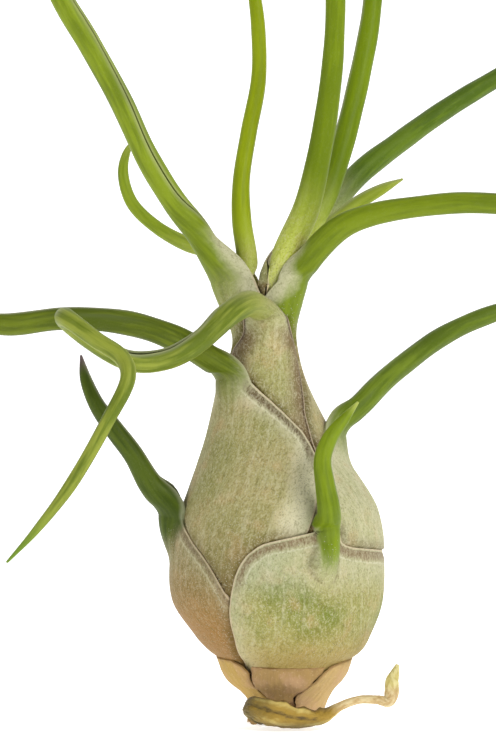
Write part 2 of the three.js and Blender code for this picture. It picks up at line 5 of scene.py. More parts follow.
import bpy
import numpy as np
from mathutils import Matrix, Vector

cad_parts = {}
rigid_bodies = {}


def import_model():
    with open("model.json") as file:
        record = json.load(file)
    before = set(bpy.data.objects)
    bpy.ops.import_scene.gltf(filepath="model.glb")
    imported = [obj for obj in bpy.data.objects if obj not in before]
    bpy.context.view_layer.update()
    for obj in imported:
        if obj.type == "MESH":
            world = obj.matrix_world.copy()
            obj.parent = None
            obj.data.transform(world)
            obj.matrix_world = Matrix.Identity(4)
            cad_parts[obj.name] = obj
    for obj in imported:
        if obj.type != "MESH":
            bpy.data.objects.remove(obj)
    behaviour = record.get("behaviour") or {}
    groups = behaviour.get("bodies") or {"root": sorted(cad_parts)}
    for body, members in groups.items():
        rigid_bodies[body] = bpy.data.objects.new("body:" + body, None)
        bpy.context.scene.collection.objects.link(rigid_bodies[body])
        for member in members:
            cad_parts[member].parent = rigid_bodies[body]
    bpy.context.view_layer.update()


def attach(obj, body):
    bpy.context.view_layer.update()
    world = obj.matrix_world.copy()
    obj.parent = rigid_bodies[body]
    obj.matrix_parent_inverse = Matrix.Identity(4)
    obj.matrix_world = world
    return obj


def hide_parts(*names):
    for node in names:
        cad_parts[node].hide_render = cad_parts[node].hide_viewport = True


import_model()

# ----------------------------------------------------------------------------------------
# Stem. A short, woody, corky stem that the leaves grow from, dried brown where the plant
# was picked. It ends flat below, and the plant stands on it and on the dried sheaths.
# ----------------------------------------------------------------------------------------
MM = 0.001  # the plant's sizes are written in millimetres
LEAN = 0.06  # how far the plant leans back for every millimetre of height
STEM = np.array([  # height and radius
    [0.0, 4.6], [0.35, 4.68], [1.2, 4.5], [5.0, 4.3], [7.0, 4.1], [11.4, 2.6], [12.4, 1.6]])
STEM_SLANT = 0.02  # how far the stem slants to the left for every millimetre of height
STEM_TRIM = 0.994  # share of the solid's radius, so that no bump stands out of it
FURROW_DEPTH = 0.09
SCAR_DEPTH = 0.10  # rings that are left where old leaves grew
STEM_BROWN = (92, 66, 42)
STEM_PALE = (150, 118, 82)


def step(start, end, value):
    """Smooth rise from 0 at start to 1 at end."""
    k = np.clip((np.asarray(value, float) - start) / (end - start), 0, 1)
    return k * k * (3 - 2 * k)


def uneven(place, wavelength, seed):
    """Smooth unevenness along one measure, between about -1 and 1."""
    dice = np.random.default_rng(seed)
    total = 0.0
    for _ in range(5):
        wave = wavelength * dice.uniform(0.6, 1.7)
        total = total + np.sin(place * 2 * math.pi / wave + dice.uniform(0, 2 * math.pi))
    return total / 3


def shade(colour, strength=1.0):
    """A colour given as screen values from 0 to 255, as the linear one that a material takes."""
    c = np.array(colour, float) / 255
    linear = np.where(c <= 0.04045, c / 12.92, ((c + 0.055) / 1.055) ** 2.4)
    return (*(float(v) for v in np.clip(linear * strength, 0, 1)), 1.0)


def mesh_of_loops(name, loops, caps="fan", measures=None):
    """A closed mesh from rows of points that each run once round the piece, in millimetres.

    caps is fan for a full section and wall for a sheet whose row goes out along its outside
    and back along its inside. measures are numbers for each point, kept as attributes, and
    the two that run across and along a leaf are its UV map too."""
    rows, count, _ = loops.shape
    points = loops.reshape(-1, 3).copy()
    points[:, 1] += LEAN * points[:, 2]
    r, c = np.meshgrid(np.arange(rows - 1), np.arange(count), indexing="ij")
    a = r * count + c
    b = r * count + (c + 1) % count
    faces = np.stack([a, b, b + count, a + count], -1).reshape(-1, 4).tolist()
    last = (rows - 1) * count
    if caps == "wall":
        for j in range(count // 2 - 1):
            k = count - 1 - j
            faces.append([j + 1, j, k, k - 1])
            faces.append([last + j, last + j + 1, last + k - 1, last + k])
    else:
        faces.append(list(range(count))[::-1])
        faces.append(list(range(last, last + count)))
    mesh = bpy.data.meshes.new(name)
    mesh.from_pydata((points * MM).tolist(), [], faces)
    if measures:
        for key, values in measures.items():
            mesh.attributes.new(key, "FLOAT", "POINT").data.foreach_set(
                "value", np.asarray(values, np.float32).ravel())
        corner = np.empty(len(mesh.loops), np.int64)
        mesh.loops.foreach_get("vertex_index", corner)
        flat = np.stack([np.asarray(measures[k], float).ravel()[corner] for k in ("across", "along")], -1)
        mesh.uv_layers.new(name="leaf_measure").data.foreach_set("uv", flat.astype(np.float32).ravel())
    mesh.shade_smooth()
    mesh.set_sharp_from_angle(angle=math.radians(62))
    return mesh


def put_piece(name, mesh, material, node):
    """Stands the mesh in for its solid, and lets it go with the plant."""
    mesh.materials.append(material)
    piece = bpy.data.objects.new(name, mesh)
    bpy.context.scene.collection.objects.link(piece)
    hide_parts(node)
    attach(piece, "root")


def add(tree, kind, sockets=None, **settings):
    """Adds a node, sets it, and fills its sockets with values or with other nodes' outputs."""
    made = tree.nodes.new(kind)
    for key, value in settings.items():
        setattr(made, key, value)
    for key, value in (sockets or {}).items():
        if isinstance(value, bpy.types.NodeSocket):
            tree.links.new(value, made.inputs[key])
        else:
            made.inputs[key].default_value = value
    return made


def count_up(tree, operation, a, b=0.0):
    """Sum, product or other arithmetic of one or two values."""
    return add(tree, "ShaderNodeMath", {0: a, 1: b}, operation=operation).outputs[0]


def rise(tree, value, start, end, low=0.0, high=1.0):
    """Smooth rise of a value from low at start to high at end."""
    made = add(tree, "ShaderNodeMapRange", {"Value": value, "From Min": start, "From Max": end,
                                            "To Min": low, "To Max": high},
               interpolation_type="SMOOTHSTEP")
    return made.outputs[0]


def blend(tree, amount, a, b):
    """The colour b laid over the colour a, as thickly as the amount says."""
    return add(tree, "ShaderNodeMix", {0: amount, 6: a, 7: b}, data_type="RGBA").outputs[2]


def noise(tree, place, scale, detail, rough, stretch=None, warp=0.0):
    """Noise, drawn out where stretch gives a scale for each direction, and bent by warp."""
    if stretch:
        place = add(tree, "ShaderNodeMapping", {"Vector": place, "Scale": stretch}).outputs[0]
    return add(tree, "ShaderNodeTexNoise", {"Vector": place, "Scale": scale, "Detail": detail,
                                            "Roughness": rough, "Distortion": warp}).outputs[0]


def new_material(name, **constants):
    """A material with one Principled surface, its node tree and that surface."""
    material = bpy.data.materials.new(name)
    material.use_nodes = True
    surface = material.node_tree.nodes["Principled BSDF"]
    for socket, value in constants.items():
        surface.inputs[socket.replace("_", " ")].default_value = value
    return material, material.node_tree, surface


def cover_surface(tree, surface, colour, roughness, height, distance):
    """Gives a surface its colour and roughness, and lets a height shade it as relief."""
    bump = add(tree, "ShaderNodeBump", {"Height": height, "Distance": distance, "Strength": 1.0})
    for source, socket in ((colour, "Base Color"), (roughness, "Roughness"), (bump.outputs[0], "Normal")):
        tree.links.new(source, surface.inputs[socket])


def corky_wood():
    material, tree, surface = new_material("corky_wood")
    place = add(tree, "ShaderNodeTexCoord").outputs["Object"]
    flakes = noise(tree, place, 420, 6, 0.65, (1, 1, 0.45))
    rings = noise(tree, place, 900, 3, 0.5, (0.3, 0.3, 1.6))
    colour = blend(tree, rise(tree, flakes, 0.38, 0.64), shade(STEM_BROWN), shade(STEM_PALE))
    colour = blend(tree, rise(tree, rings, 0.5, 0.7, 0, 0.5), colour, shade(STEM_BROWN, 0.6))
    cover_surface(tree, surface, colour, rise(tree, flakes, 0.2, 0.8, 0.95, 0.75),
                  count_up(tree, "ADD", flakes, rings), 0.0004)
    return material


def stem_mesh():
    heights = np.unique(np.concatenate([np.linspace(0, STEM[-1, 0], 62), STEM[:, 0]]))
    angle = np.linspace(0, 2 * math.pi, 97)[:-1]
    h, a = np.meshgrid(heights, angle, indexing="ij")
    furrows = uneven(a * 4.4 + 0.3 * uneven(h, 5, 3), 2.1, 4) * (1 - 0.8 * (h < 0.05))
    scars = SCAR_DEPTH * np.abs(uneven(h + 0.4 * uneven(a * 4.4, 9, 5), 1.9, 6))
    radius = np.interp(h, STEM[:, 0], STEM[:, 1]) * STEM_TRIM
    radius = radius - FURROW_DEPTH * np.abs(furrows) - scars * step(0, 0.5, h)
    loops = np.stack([radius * np.sin(a) - STEM_SLANT * h, -radius * np.cos(a), h], -1)
    return mesh_of_loops("stem", loops)


put_piece("stem_corky", stem_mesh(), corky_wood(), "stem")

# ----------------------------------------------------------------------------------------
# Old sheaths. Dried, papery remains of earlier leaves, tan and split, that still hold the
# bulb like a cup. They grew from the stem, and their torn lower rims touch the ground.
# ----------------------------------------------------------------------------------------
WALL = 0.65  # thickness of a leaf
CUP = np.array([  # height, radius and sideways place of the centre, outside of the outer two
    [0, 6.4, -0.6], [1.6, 6.45, -0.4], [3.9, 7.1, -0.1], [5.6, 8.1, -0.3], [7.3, 9.8, -0.6],
    [9.1, 11.1, -0.6], [10.4, 11.9, -0.55], [11.2, 12.4, -0.55],
])
CUP_INSIDE = np.array([
    [1.6, 5.25, -0.3], [2.6, 5.4, -0.2], [3.4, 5.75, -0.1], [3.9, 6.2, -0.1], [4.3, 6.8, -0.15],
    [4.8, 7.45, -0.2], [5.6, 8.05, -0.3], [7.3, 9.75, -0.6], [9.1, 11.05, -0.6], [10.0, 11.6, -0.55],
])
OLD_SHEATHS = {  # direction of the middle, outline; then height, left margin and right margin
    "old_sheath_left": (-85, CUP, [
        [0, -180, 8], [1.6, -180, 8], [3.0, -180, 6], [3.9, -180, 0], [4.3, -180, -9], [4.8, -180, -24],
        [5.2, -180, -31], [6.2, -180, -34.5], [8.0, -178, -36], [9.6, -176, -36], [10.4, -172, -42],
        [11.2, -164, -52]]),
    "old_sheath_right": (95, CUP, [
        [0, 12, 175], [1.6, 12, 175], [3.9, 12, 175], [4.3, 10, 175], [4.8, 10.5, 175], [5.6, 15, 175],
        [6.4, 23, 175], [7.2, 28.5, 175], [8.2, 34.5, 174.5], [9.2, 39.5, 173], [10.0, 44, 171],
        [10.4, 50, 168], [10.8, 60, 160], [11.2, 75, 145]]),
    "old_sheath_middle": (2, CUP_INSIDE, [
        [1.6, -30, 40], [2.6, -22, 32], [3.4, -6, 17], [3.9, 2.2, 9.6], [4.3, -6.6, 7.8],
        [4.8, -21.6, 8.4], [5.2, -28.6, 10], [5.6, -30.3, 12.9], [6.4, -32.4, 20.8], [7.2, -33.2, 26.4],
        [8.2, -34, 32.4], [9.2, -34, 37.4], [10.0, -33, 40]]),
}
FIBRE_RELIEF = 0.12 * MM
OLD_COLOURS = {  # name of the finish, colour of the sheath and of its torn edge
    "old_sheath_left": ("dry_sheath_golden", (182, 150, 76), (120, 84, 52)),
    "old_sheath_right": ("dry_sheath_tan", (192, 162, 104), (140, 100, 66)),
    "old_sheath_middle": ("dry_sheath_pink", (168, 136, 82), (140, 104, 70)),
}


def curve_at(table, x, column):
    """Smooth reading of one column of a table whose first column rises."""
    heights, values = table[:, 0], table[:, column]
    slopes = np.empty(len(table))
    slopes[1:-1] = (values[2:] - values[:-2]) / (heights[2:] - heights[:-2])
    slopes[0] = (values[1] - values[0]) / (heights[1] - heights[0])
    slopes[-1] = (values[-1] - values[-2]) / (heights[-1] - heights[-2])
    x = np.asarray(x, float)
    i = np.clip(np.searchsorted(heights, x), 1, len(table) - 1)
    h = heights[i] - heights[i - 1]
    k = np.clip((x - heights[i - 1]) / h, 0, 1)
    return ((2 * k**3 - 3 * k**2 + 1) * values[i - 1] + (k**3 - 2 * k**2 + k) * h * slopes[i - 1]
            + (3 * k**2 - 2 * k**3) * values[i] + (k**3 - k**2) * h * slopes[i])


def on_outline(outline, angle, height, depth):
    """Points a given depth inside an outline, square to it. Angle 0 is towards the viewer."""
    low = np.maximum(outline[0, 0], height - 0.1)
    high = np.minimum(outline[-1, 0], height + 0.1)
    slope = (curve_at(outline, high, 1) - curve_at(outline, low, 1)) / (high - low)
    size = np.hypot(1, slope)
    r = curve_at(outline, height, 1) - depth / size
    a = np.radians(angle)
    return np.stack([curve_at(outline, height, 2) + r * np.sin(a), -r * np.cos(a),
                     height + depth * slope / size], -1)


def spread(count):
    """Places from -1 to 1 across a leaf, closer together at the keel and at the margins."""
    s = np.linspace(-1, 1, count)
    return s - 0.5 * np.sin(2 * math.pi * s) / (2 * math.pi)


def new_group(name, inputs, outputs=("Color", "Roughness", "Height")):
    """A shader group with the inputs and outputs given, and the nodes that they end in."""
    group = bpy.data.node_groups.new(name, "ShaderNodeTree")
    for key, value in inputs.items():
        kind = "Color" if isinstance(value, tuple) else "Float"
        socket = group.interface.new_socket(name=key, in_out="INPUT", socket_type="NodeSocket" + kind)
        socket.default_value = shade(value) if kind == "Color" else value
    for key in outputs:
        kind = "Color" if key == "Color" else "Float"
        group.interface.new_socket(name=key, in_out="OUTPUT", socket_type="NodeSocket" + kind)
    return group, group.nodes.new("NodeGroupInput").outputs, group.nodes.new("NodeGroupOutput").inputs


def dry_papery():
    """Dried tissue: lengthwise fibres, pink and dark stains, pale grain, a browned edge."""
    group, given, out = new_group("dry_papery", {
        "Fibre dark": (180, 146, 92), "Fibre light": (200, 166, 112), "Stain": (150, 120, 80),
        "Edge": (120, 84, 52)})
    place = add(group, "ShaderNodeTexCoord").outputs["Object"]
    measure = add(group, "ShaderNodeUVMap", uv_map="leaf_measure").outputs[0]
    margin = add(group, "ShaderNodeAttribute", attribute_name="margin").outputs["Fac"]
    fibres = noise(group, measure, 1.0, 5, 0.6, (2.6, 0.22, 1))
    stains = noise(group, place, 200, 4, 0.6)
    grain = noise(group, place, 2600, 2, 0.5)
    base = blend(group, rise(group, fibres, 0.3, 0.7), given["Fibre dark"], given["Fibre light"])
    base = blend(group, rise(group, stains, 0.48, 0.66, 0, 0.5), base, shade((196, 156, 124), 0.95))
    base = blend(group, rise(group, stains, 0.44, 0.30, 0, 0.5), base, given["Stain"])
    torn = count_up(group, "ADD", margin, count_up(group, "MULTIPLY", stains, -1.1))
    base = blend(group, rise(group, torn, -0.5, 0.1, 0.35, 0), base, given["Edge"])
    base = blend(group, rise(group, grain, 0.55, 0.8, 0, 0.35), base, shade((228, 205, 165)))
    height = add(group, "ShaderNodeSeparateXYZ", {0: place}).outputs[2]
    base = blend(group, rise(group, height, 0.0036, 0.0008, 0, 0.6), base, shade((136, 104, 66)))
    group.links.new(base, out["Color"])
    group.links.new(rise(group, grain, 0.2, 0.8, 0.7, 0.9), out["Roughness"])
    group.links.new(count_up(group, "ADD", fibres, count_up(group, "MULTIPLY", grain, 0.5)), out["Height"])
    return group


def group_finish(name, group, values, distance=None, **constants):
    """A material that wears a shared group, with its own colours and amounts. distance is how
    high the group's relief stands, where it has one."""
    material, tree, surface = new_material(name, **constants)
    worn = tree.nodes.new("ShaderNodeGroup")
    worn.node_tree = group
    for key, value in values.items():
        worn.inputs[key.replace("_", " ")].default_value = value
    if distance:
        cover_surface(tree, surface, *(worn.outputs[k] for k in ("Color", "Roughness", "Height")), distance)
    else:
        tree.links.new(worn.outputs["Color"], surface.inputs["Base Color"])
    return material


def sheet_mesh(name, outer, inner, measures, outside_only=()):
    """A closed mesh from the two faces of a sheet. outside_only measures are 0 on its inside."""
    return mesh_of_loops(name, np.concatenate([outer, inner[:, ::-1]], 1), "wall", {
        key: np.concatenate([v, v[:, ::-1] * (key not in outside_only)], 1) for key, v in measures.items()})


def old_sheath_mesh(name, middle, outline, edges, seed):
    edges = np.array(edges, float)
    heights = np.unique(np.concatenate([np.arange(edges[0, 0], edges[-1, 0], 0.16), edges[:, 0]]))
    u = spread(121)
    h = np.repeat(heights[:, None], len(u), 1)
    torn = 0.6 * uneven(heights, 1.5, seed) * step(0.5, 2.5, heights)
    left = (np.interp(heights, edges[:, 0], edges[:, 1]) + torn)[:, None]
    right = (np.interp(heights, edges[:, 0], edges[:, 2]) + 0.6 * uneven(heights, 1.2, seed + 1))[:, None]
    angle = np.where(u < 0, middle + u * (middle - left), middle + u * (right - middle))
    radius = curve_at(outline, h, 1)
    across = np.radians(angle - middle) * radius
    side = np.minimum(np.radians(angle - left), np.radians(right - angle)) * radius
    top = edges[-1, 0] - h + 0.25 * uneven(across, 2.2, seed + 2)
    margin = np.minimum(side, np.maximum(top, 0) * 1.3)
    wrinkles = 0.07 * uneven(across + 0.8 * uneven(h, 3.5, seed + 3), 1.9, seed + 4)
    dents = 0.13 * uneven(across * 0.6 + h, 5.5, seed + 5)
    thin = step(1.2, 0.0, margin)
    hug = (0.75 if outline is CUP_INSIDE else 0.3) * step(3.0, 0.2, top)  # leans in to the bulb
    outer = on_outline(outline, angle, h, wrinkles + dents + hug + 0.12 * thin)
    inner = on_outline(outline, angle, h, wrinkles + dents + hug + WALL - 0.14 * thin)
    if outline is CUP:
        ragged = 0.275 * step(1.4, 0.0, h) * step(0.9, 0, h) * (1 + uneven(across, 2.4, seed + 6))
        outer[..., 2] += ragged
        inner[..., 2] += ragged
    return sheet_mesh(name, outer, inner, {"across": across, "along": h, "margin": margin})


papery = dry_papery()
for number, (name, (middle, outline, edges)) in enumerate(OLD_SHEATHS.items()):
    finish, colour, edge = OLD_COLOURS[name]
    paper = group_finish(finish, papery, {
        "Fibre dark": shade(colour, 0.93), "Fibre light": shade(colour, 1.07),
        "Stain": shade(colour, 0.8), "Edge": shade(edge)}, FIBRE_RELIEF)
    put_piece(name + "_papery", old_sheath_mesh(name, middle, outline, edges, 40 + 10 * number),
              paper, name)

# ----------------------------------------------------------------------------------------
# Withered leaf. The lowest leaf, still joined to the stem, dried olive yellow and crumpled
# over itself in front of the foot. Its thin end has dried to a straw-coloured thread with a
# small hooked blade.
# ----------------------------------------------------------------------------------------
WITHERED = np.array([  # middle line, and radius of the crumpled roll along it
    [-4.3, -5.6, 0.85, 0.45], [-5.0, -8.0, 1.3, 0.55], [-7.0, -9.8, 3.3, 0.95], [-6.0, -11.3, 3.7, 1.5],
    [-3.6, -12.0, 3.1, 1.95], [-0.6, -12.0, 2.5, 1.8], [3.0, -11.6, 2.1, 1.45], [6.0, -10.9, 2.2, 0.95],
    [8.6, -10.2, 3.9, 0.75], [12.0, -9.9, 5.1, 0.7], [15.2, -9.9, 5.1, 0.78], [17.1, -10.0, 4.9, 1.0],
    [17.6, -9.8, 6.3, 1.3], [17.7, -9.6, 8.2, 1.2], [18.3, -9.3, 9.8, 0.75], [18.7, -9.0, 11.0, 0.3],
])
WITHERED_CURL = math.radians(140)  # half angle through which it is rolled
WITHERED_SPAN = 3.2  # about the distance from one point of its middle line to the next
WITHERED_FLOOR = 0.05  # height of its underside


def smooth_path(points, places):
    """Points and directions of a curve through points, closer bends taken gently.

    places run from 0 at the first point to one less than their number at the last."""
    points = np.asarray(points, float)
    ends = np.vstack([2 * points[0] - points[1], points, 2 * points[-1] - points[-2]])
    i = np.clip(np.floor(places).astype(int), 0, len(points) - 2)
    k = (places - i)[:, None]
    p0, p1, p2, p3 = (ends[i + j] for j in range(4))
    gap = [np.maximum(np.sum((b - a) ** 2, 1, keepdims=True) ** 0.25, 1e-4)
           for a, b in ((p0, p1), (p1, p2), (p2, p3))]
    t1 = ((p1 - p0) / gap[0] - (p2 - p0) / (gap[0] + gap[1]) + (p2 - p1) / gap[1]) * gap[1]
    t2 = ((p2 - p1) / gap[1] - (p3 - p1) / (gap[1] + gap[2]) + (p3 - p2) / gap[2]) * gap[1]
    c2 = -3 * p1 + 3 * p2 - 2 * t1 - t2
    c3 = 2 * p1 - 2 * p2 + t1 + t2
    here = p1 + t1 * k + c2 * k**2 + c3 * k**3
    way = t1 + 2 * c2 * k + 3 * c3 * k**2
    return here, way / np.linalg.norm(way, axis=1, keepdims=True)


def carried(groove, ways):
    """A direction square to a path, carried along it without twisting."""
    result = np.empty_like(ways)
    groove = np.array(groove, float)
    for i, way in enumerate(ways):
        groove = groove - groove.dot(way) * way
        groove /= np.linalg.norm(groove)
        result[i] = groove
    return result


def withered_mesh():
    places = np.linspace(0, len(WITHERED) - 1, 460)
    here, ways = smooth_path(WITHERED[:, :3], places)
    groove = carried((0, -0.5, 0.85), ways)
    side = np.cross(groove, ways)
    radius = np.interp(places, np.arange(len(WITHERED)), WITHERED[:, 3])[:, None]
    u = spread(73)
    body = step(8.8, 6.6, places)[:, None]  # the broad crumpled part, before the thin end
    p, a = np.meshgrid(places * WITHERED_SPAN, u * WITHERED_CURL, indexing="ij")
    # a few deep lengthwise folds that wander round the roll, and fine creases over them
    folds = np.cos(3 * a + 1.1 * uneven(p, 9, 71) + 0.4) * 0.62 + np.cos(5 * a - 0.28 * p + 1.0) * 0.38
    creases = uneven(a * 2.2 + 0.7 * uneven(p, 3, 73), 1.1, 74) * 0.6 + uneven(p + a, 1.6, 75) * 0.4
    swell = (folds * 0.2 + creases * 0.08) * body + creases * 0.04 * (1 - body)
    flare = np.abs(u)[None, :] ** 3 * body * (0.5 + 0.5 * uneven(p, 4.6, 76))
    thick = np.minimum(0.5, radius * 0.55) * (1 - 0.5 * np.abs(u)[None, :] ** 4)

    def face(r):
        out = here[:, None, :] + (r * np.sin(u * WITHERED_CURL))[..., None] * side[:, None, :]
        out = out - ((r * np.cos(u * WITHERED_CURL)) - flare)[..., None] * groove[:, None, :]
        out[..., 2] = np.maximum(out[..., 2], WITHERED_FLOOR)
        return out

    outer = face(radius * (1 + swell))
    inner = face(np.maximum(0.1, radius * (1 + swell) - thick))
    return sheet_mesh("withered_leaf", outer, inner, {
        "across": a * radius, "along": p, "crest": 0.5 + 0.5 * folds + 0.15 * creases,
        "margin": (1 - np.abs(u))[None, :] * WITHERED_CURL * radius,
        "thin": np.repeat(1 - body, len(u), 1)})


def withered_skin():
    """Golden olive folds, with painted shade in their valleys and a painted highlight on their crests,
    darker towards the bottom; a straw thread, and a paler blade at its end.
    """
    material, tree, surface = new_material("withered_skin")

    def plus(a, b):
        return count_up(tree, "ADD", a, b)

    def times(a, b):
        return count_up(tree, "MULTIPLY", a, b)

    def over(base, amount, colour):
        return blend(tree, amount, base, shade(colour))

    place = add(tree, "ShaderNodeTexCoord").outputs["Object"]
    low = add(tree, "ShaderNodeSeparateXYZ", {0: place}).outputs[2]
    measure = add(tree, "ShaderNodeUVMap", uv_map="leaf_measure").outputs[0]
    along = add(tree, "ShaderNodeSeparateXYZ", {0: measure}).outputs[1]
    margin, thin, crest = (add(tree, "ShaderNodeAttribute", attribute_name=key).outputs["Fac"]
                           for key in ("margin", "thin", "crest"))
    creases = noise(tree, measure, 1.0, 5, 0.6, (1.3, 0.45, 1))
    stains = noise(tree, place, 300, 4, 0.6)
    # random creases, plus painted shade in the fold valleys and a painted highlight on the fold crests
    high = plus(times(crest, 0.6), times(creases, 0.6))
    colour = over(shade((88, 68, 22)), rise(tree, high, 0.2, 0.5), (166, 134, 44))
    colour = over(colour, rise(tree, high, 0.64, 0.9, 0, 0.8), (220, 198, 116))
    green = times(rise(tree, along, 15.0, 9.5), rise(tree, stains, 0.3, 0.55, 0.25, 0.7))
    colour = over(colour, green, (64, 60, 26))
    colour = over(colour, rise(tree, low, 0.0022, 0.0007, 0, 0.75), (72, 62, 30))
    colour = over(colour, rise(tree, plus(margin, times(stains, -1.2)), -0.5, 0.3, 0.85, 0), (84, 64, 30))
    straw = over(shade((196, 162, 104)), rise(tree, creases, 0.35, 0.65), (226, 206, 156))
    straw = over(straw, rise(tree, stains, 0.60, 0.70, 0, 0.7), (130, 98, 58))
    end = over(shade((206, 190, 112)), rise(tree, creases, 0.4, 0.6), (228, 216, 150))
    straw = blend(tree, rise(tree, along, 38.2, 41.2), straw, end)
    colour = blend(tree, rise(tree, thin, 0.25, 0.9), colour, straw)
    cover_surface(tree, surface, colour, rise(tree, creases, 0.2, 0.8, 0.45, 0.7),
                  plus(creases, stains), 0.0006)
    return material


put_piece("withered_leaf_crumpled", withered_mesh(), withered_skin(), "withered_leaf")

# ----------------------------------------------------------------------------------------
# Lower leaves. The oldest live leaves: each grows from the stem as a broad, leathery sheath
# that clasps the bulb, narrows, and rolls up lengthwise into a short pointed blade.
# ----------------------------------------------------------------------------------------
AIR = 0.38  # free space between one sheath and the next
BULB = np.array([  # height, radius, sideways place of the centre
    [6.8, 5.0, -0.2], [7.8, 7.4, -0.4], [9.6, 9.9, -0.5], [11.2, 11.35, -0.45], [12.1, 12.8, -0.4],
    [13.2, 14.0, -0.5], [15.0, 15.3, -0.85], [21.4, 18.5, -1.9], [30.1, 18.8, -1.9], [34.5, 18.2, -1.7],
    [38.9, 16.7, -1.6], [49.4, 11.5, -3.1], [59.0, 8.0, -4.4], [66.0, 5.8, -4.05], [74.0, 6.0, -4.3],
    [84.0, 6.0, -4.3],
])
CLASP_RISE = 0.5  # distance past an outer margin over which an inner sheath rises to the outside
CURL = 168  # half angle in degrees through which a blade is rolled
TIP = 0.16  # radius of a blade's end
COLUMNS = 81  # points across a leaf
ROW_GAP = 0.5  # distance between the rows of points along it
FOOT_ROW_GAP = 0.2  # and where a blade's foot bulges out of the sheath
SKIN_RELIEF = 0.22 * MM
grown = []  # margins of the leaves grown so far, outermost first


def margin_line(edges):
    """The margins of a sheath with their corners rounded: heights, left angles, right angles."""
    edges = np.array(edges, float)
    fine = np.arange(edges[0, 0], edges[-1, 0] + 0.05, 0.1)
    sides = []
    for column in (1, 2):
        raw = np.interp(fine, edges[:, 0], edges[:, column])
        mended = np.concatenate([2 * raw[0] - raw[8:0:-1], raw, 2 * raw[-1] - raw[-2:-10:-1]])
        sides.append(np.convolve(mended, np.hanning(19)[1:-1] / np.hanning(19).sum(), "valid"))
    return fine, sides[0], sides[1]


def from_margin(line, angle, height, radius, over_top=True):
    """Distance along the surface to the margin of a sheath, negative inside it. over_top
    counts the line at which the blade begins as part of the margin."""
    fine, left, right = line
    keep = np.unique(np.concatenate([np.arange(0, len(fine), 6), [len(fine) - 1]]))
    way = np.concatenate([[left[0]], left[keep], right[keep][::-1], [right[0]]])
    up = np.concatenate([[-50], fine[keep], fine[keep][::-1], [-50]])
    lo, hi = np.interp(height, fine, left), np.interp(height, fine, right)
    angle = angle - 360 * np.round((angle - (lo + hi) / 2) / 360)
    inside = (height < fine[-1]) & (angle > lo) & (angle < hi)
    scale = np.radians(1) * radius
    best = np.full(angle.shape, 1e9)
    for i in range(len(way) - 1):
        if i == len(keep) and not over_top:
            continue
        ax, ay = (way[i] - angle) * scale, up[i] - height
        dx, dy = (way[i + 1] - way[i]) * scale, up[i + 1] - up[i]
        k = np.clip(-(ax * dx + ay * dy) / (dx * dx + dy * dy + 1e-12), 0, 1)
        best = np.minimum(best, np.hypot(ax + dx * k, ay + dy * k))
    return np.where(inside, -best, best)


def depth_at(aways, like):
    """How deep a sheath lies: one step for every outer sheath that covers the place."""
    covers = (1 - step(0, CLASP_RISE, away) for away in aways)
    return sum(((WALL + AIR) * cover for cover in covers), np.zeros(np.shape(like)))


def depth_under(angle, height):
    """The same for the next leaf, from the margins of the leaves that are outside it."""
    radius = curve_at(BULB, height, 1)
    return depth_at([from_margin(line, angle, height, radius) for line in grown], height)


def sheath_heights(line, foot):
    """Rows of a sheath: close together at a blade's foot and where margins run nearly level."""
    fine, left, right = line
    radius = curve_at(BULB, fine, 1)
    rows = [0]
    for i in range(1, len(fine)):
        shift = max(abs(left[i] - left[rows[-1]]), abs(right[i] - right[rows[-1]]))
        gap = FOOT_ROW_GAP if foot and foot[0][0] - 0.6 < fine[i] < foot[0][0] + 4 else ROW_GAP
        if fine[i] - fine[rows[-1]] >= gap - 0.01 or math.radians(shift) * radius[i] > 1.0:
            rows.append(i)
    if rows[-1] != len(fine) - 1:
        rows.append(len(fine) - 1)
    return fine[rows]


def sheath_rows(leaf, line, heights, left, right, middle, seed):
    """Outer and inner points of a sheath, and their measures."""
    u = spread(COLUMNS)
    h = np.repeat(heights[:, None], COLUMNS, 1)
    below_top = line[0][-1] - h
    angle = np.where(u < 0, middle + u * (middle - left), middle + u * (right - middle))
    radius = curve_at(BULB, h, 1)
    from_keel = np.radians(angle - leaf["az"]) * radius
    away = np.abs(from_margin(line, angle, h, radius, over_top=False))
    side = np.minimum(np.radians(angle - left), np.radians(right - angle)) * radius
    margin = np.clip(np.minimum(away, side), 0, None)
    # the foot of the blade bulges out of the sheath
    start, end, out, half = leaf.get("lift", (0, 1, 0, 1))
    foot = np.array(leaf.get("foot", ((0, 0, half), (1, 0, half))), float)
    foot_half = curve_at(foot, h, 2)
    ridge = (from_keel - curve_at(foot, h, 1)) / np.maximum(0.02, foot_half)
    bulge = out * step(start, end, h) * (1 - np.minimum(1, ridge * ridge)) ** leaf.get("round", 2)
    rim = np.exp(-((np.abs(ridge) - 1.0) * foot_half / 0.4) ** 2) if "foot" in leaf else 0.0
    # outer sheaths cover this one; where it comes out from under them, and round the blade's foot, shade is
    # painted into its colour
    aways = [from_margin(other, angle, h, radius) for other in grown]
    hidden = depth_at(aways, h)
    crevice = sum((step(2.6, 0.1, other) for other in aways), np.zeros_like(h))
    crevice = crevice + 0.8 * rim * step(start, start + 0.8, h)
    scurf = step(0.3, 0.1, hidden) * step(10.5, 12.5, h) * step(0, 9, below_top)
    depth = hidden - bulge
    fade = step(0, 3, below_top)
    for at_angle, at_height, wide, tall, deep in leaf.get("dents", ()):
        far = np.hypot(np.radians(angle - at_angle) * radius / wide, (h - at_height) / tall)
        depth = depth + deep * fade * np.exp(-far * far)
    ribs = 0.03 * uneven(from_keel + 0.5 * uneven(h, 16, seed), 2.4, seed + 1)
    swell = 0.11 * uneven(from_keel * 0.6 + 0.4 * h, 11, seed + 2)
    depth = depth + (ribs + swell) * fade
    thin = step(1.5, 0.0, margin) * fade
    outer = on_outline(BULB, angle, h, depth + 0.32 * thin)
    inner = on_outline(BULB, angle, h, depth + WALL + 0.20 * thin)
    return outer, inner, {"across": from_keel, "along": -below_top * 1.05, "margin": margin,
                          "share": np.zeros_like(h), "scurf": scurf, "crevice": crevice}


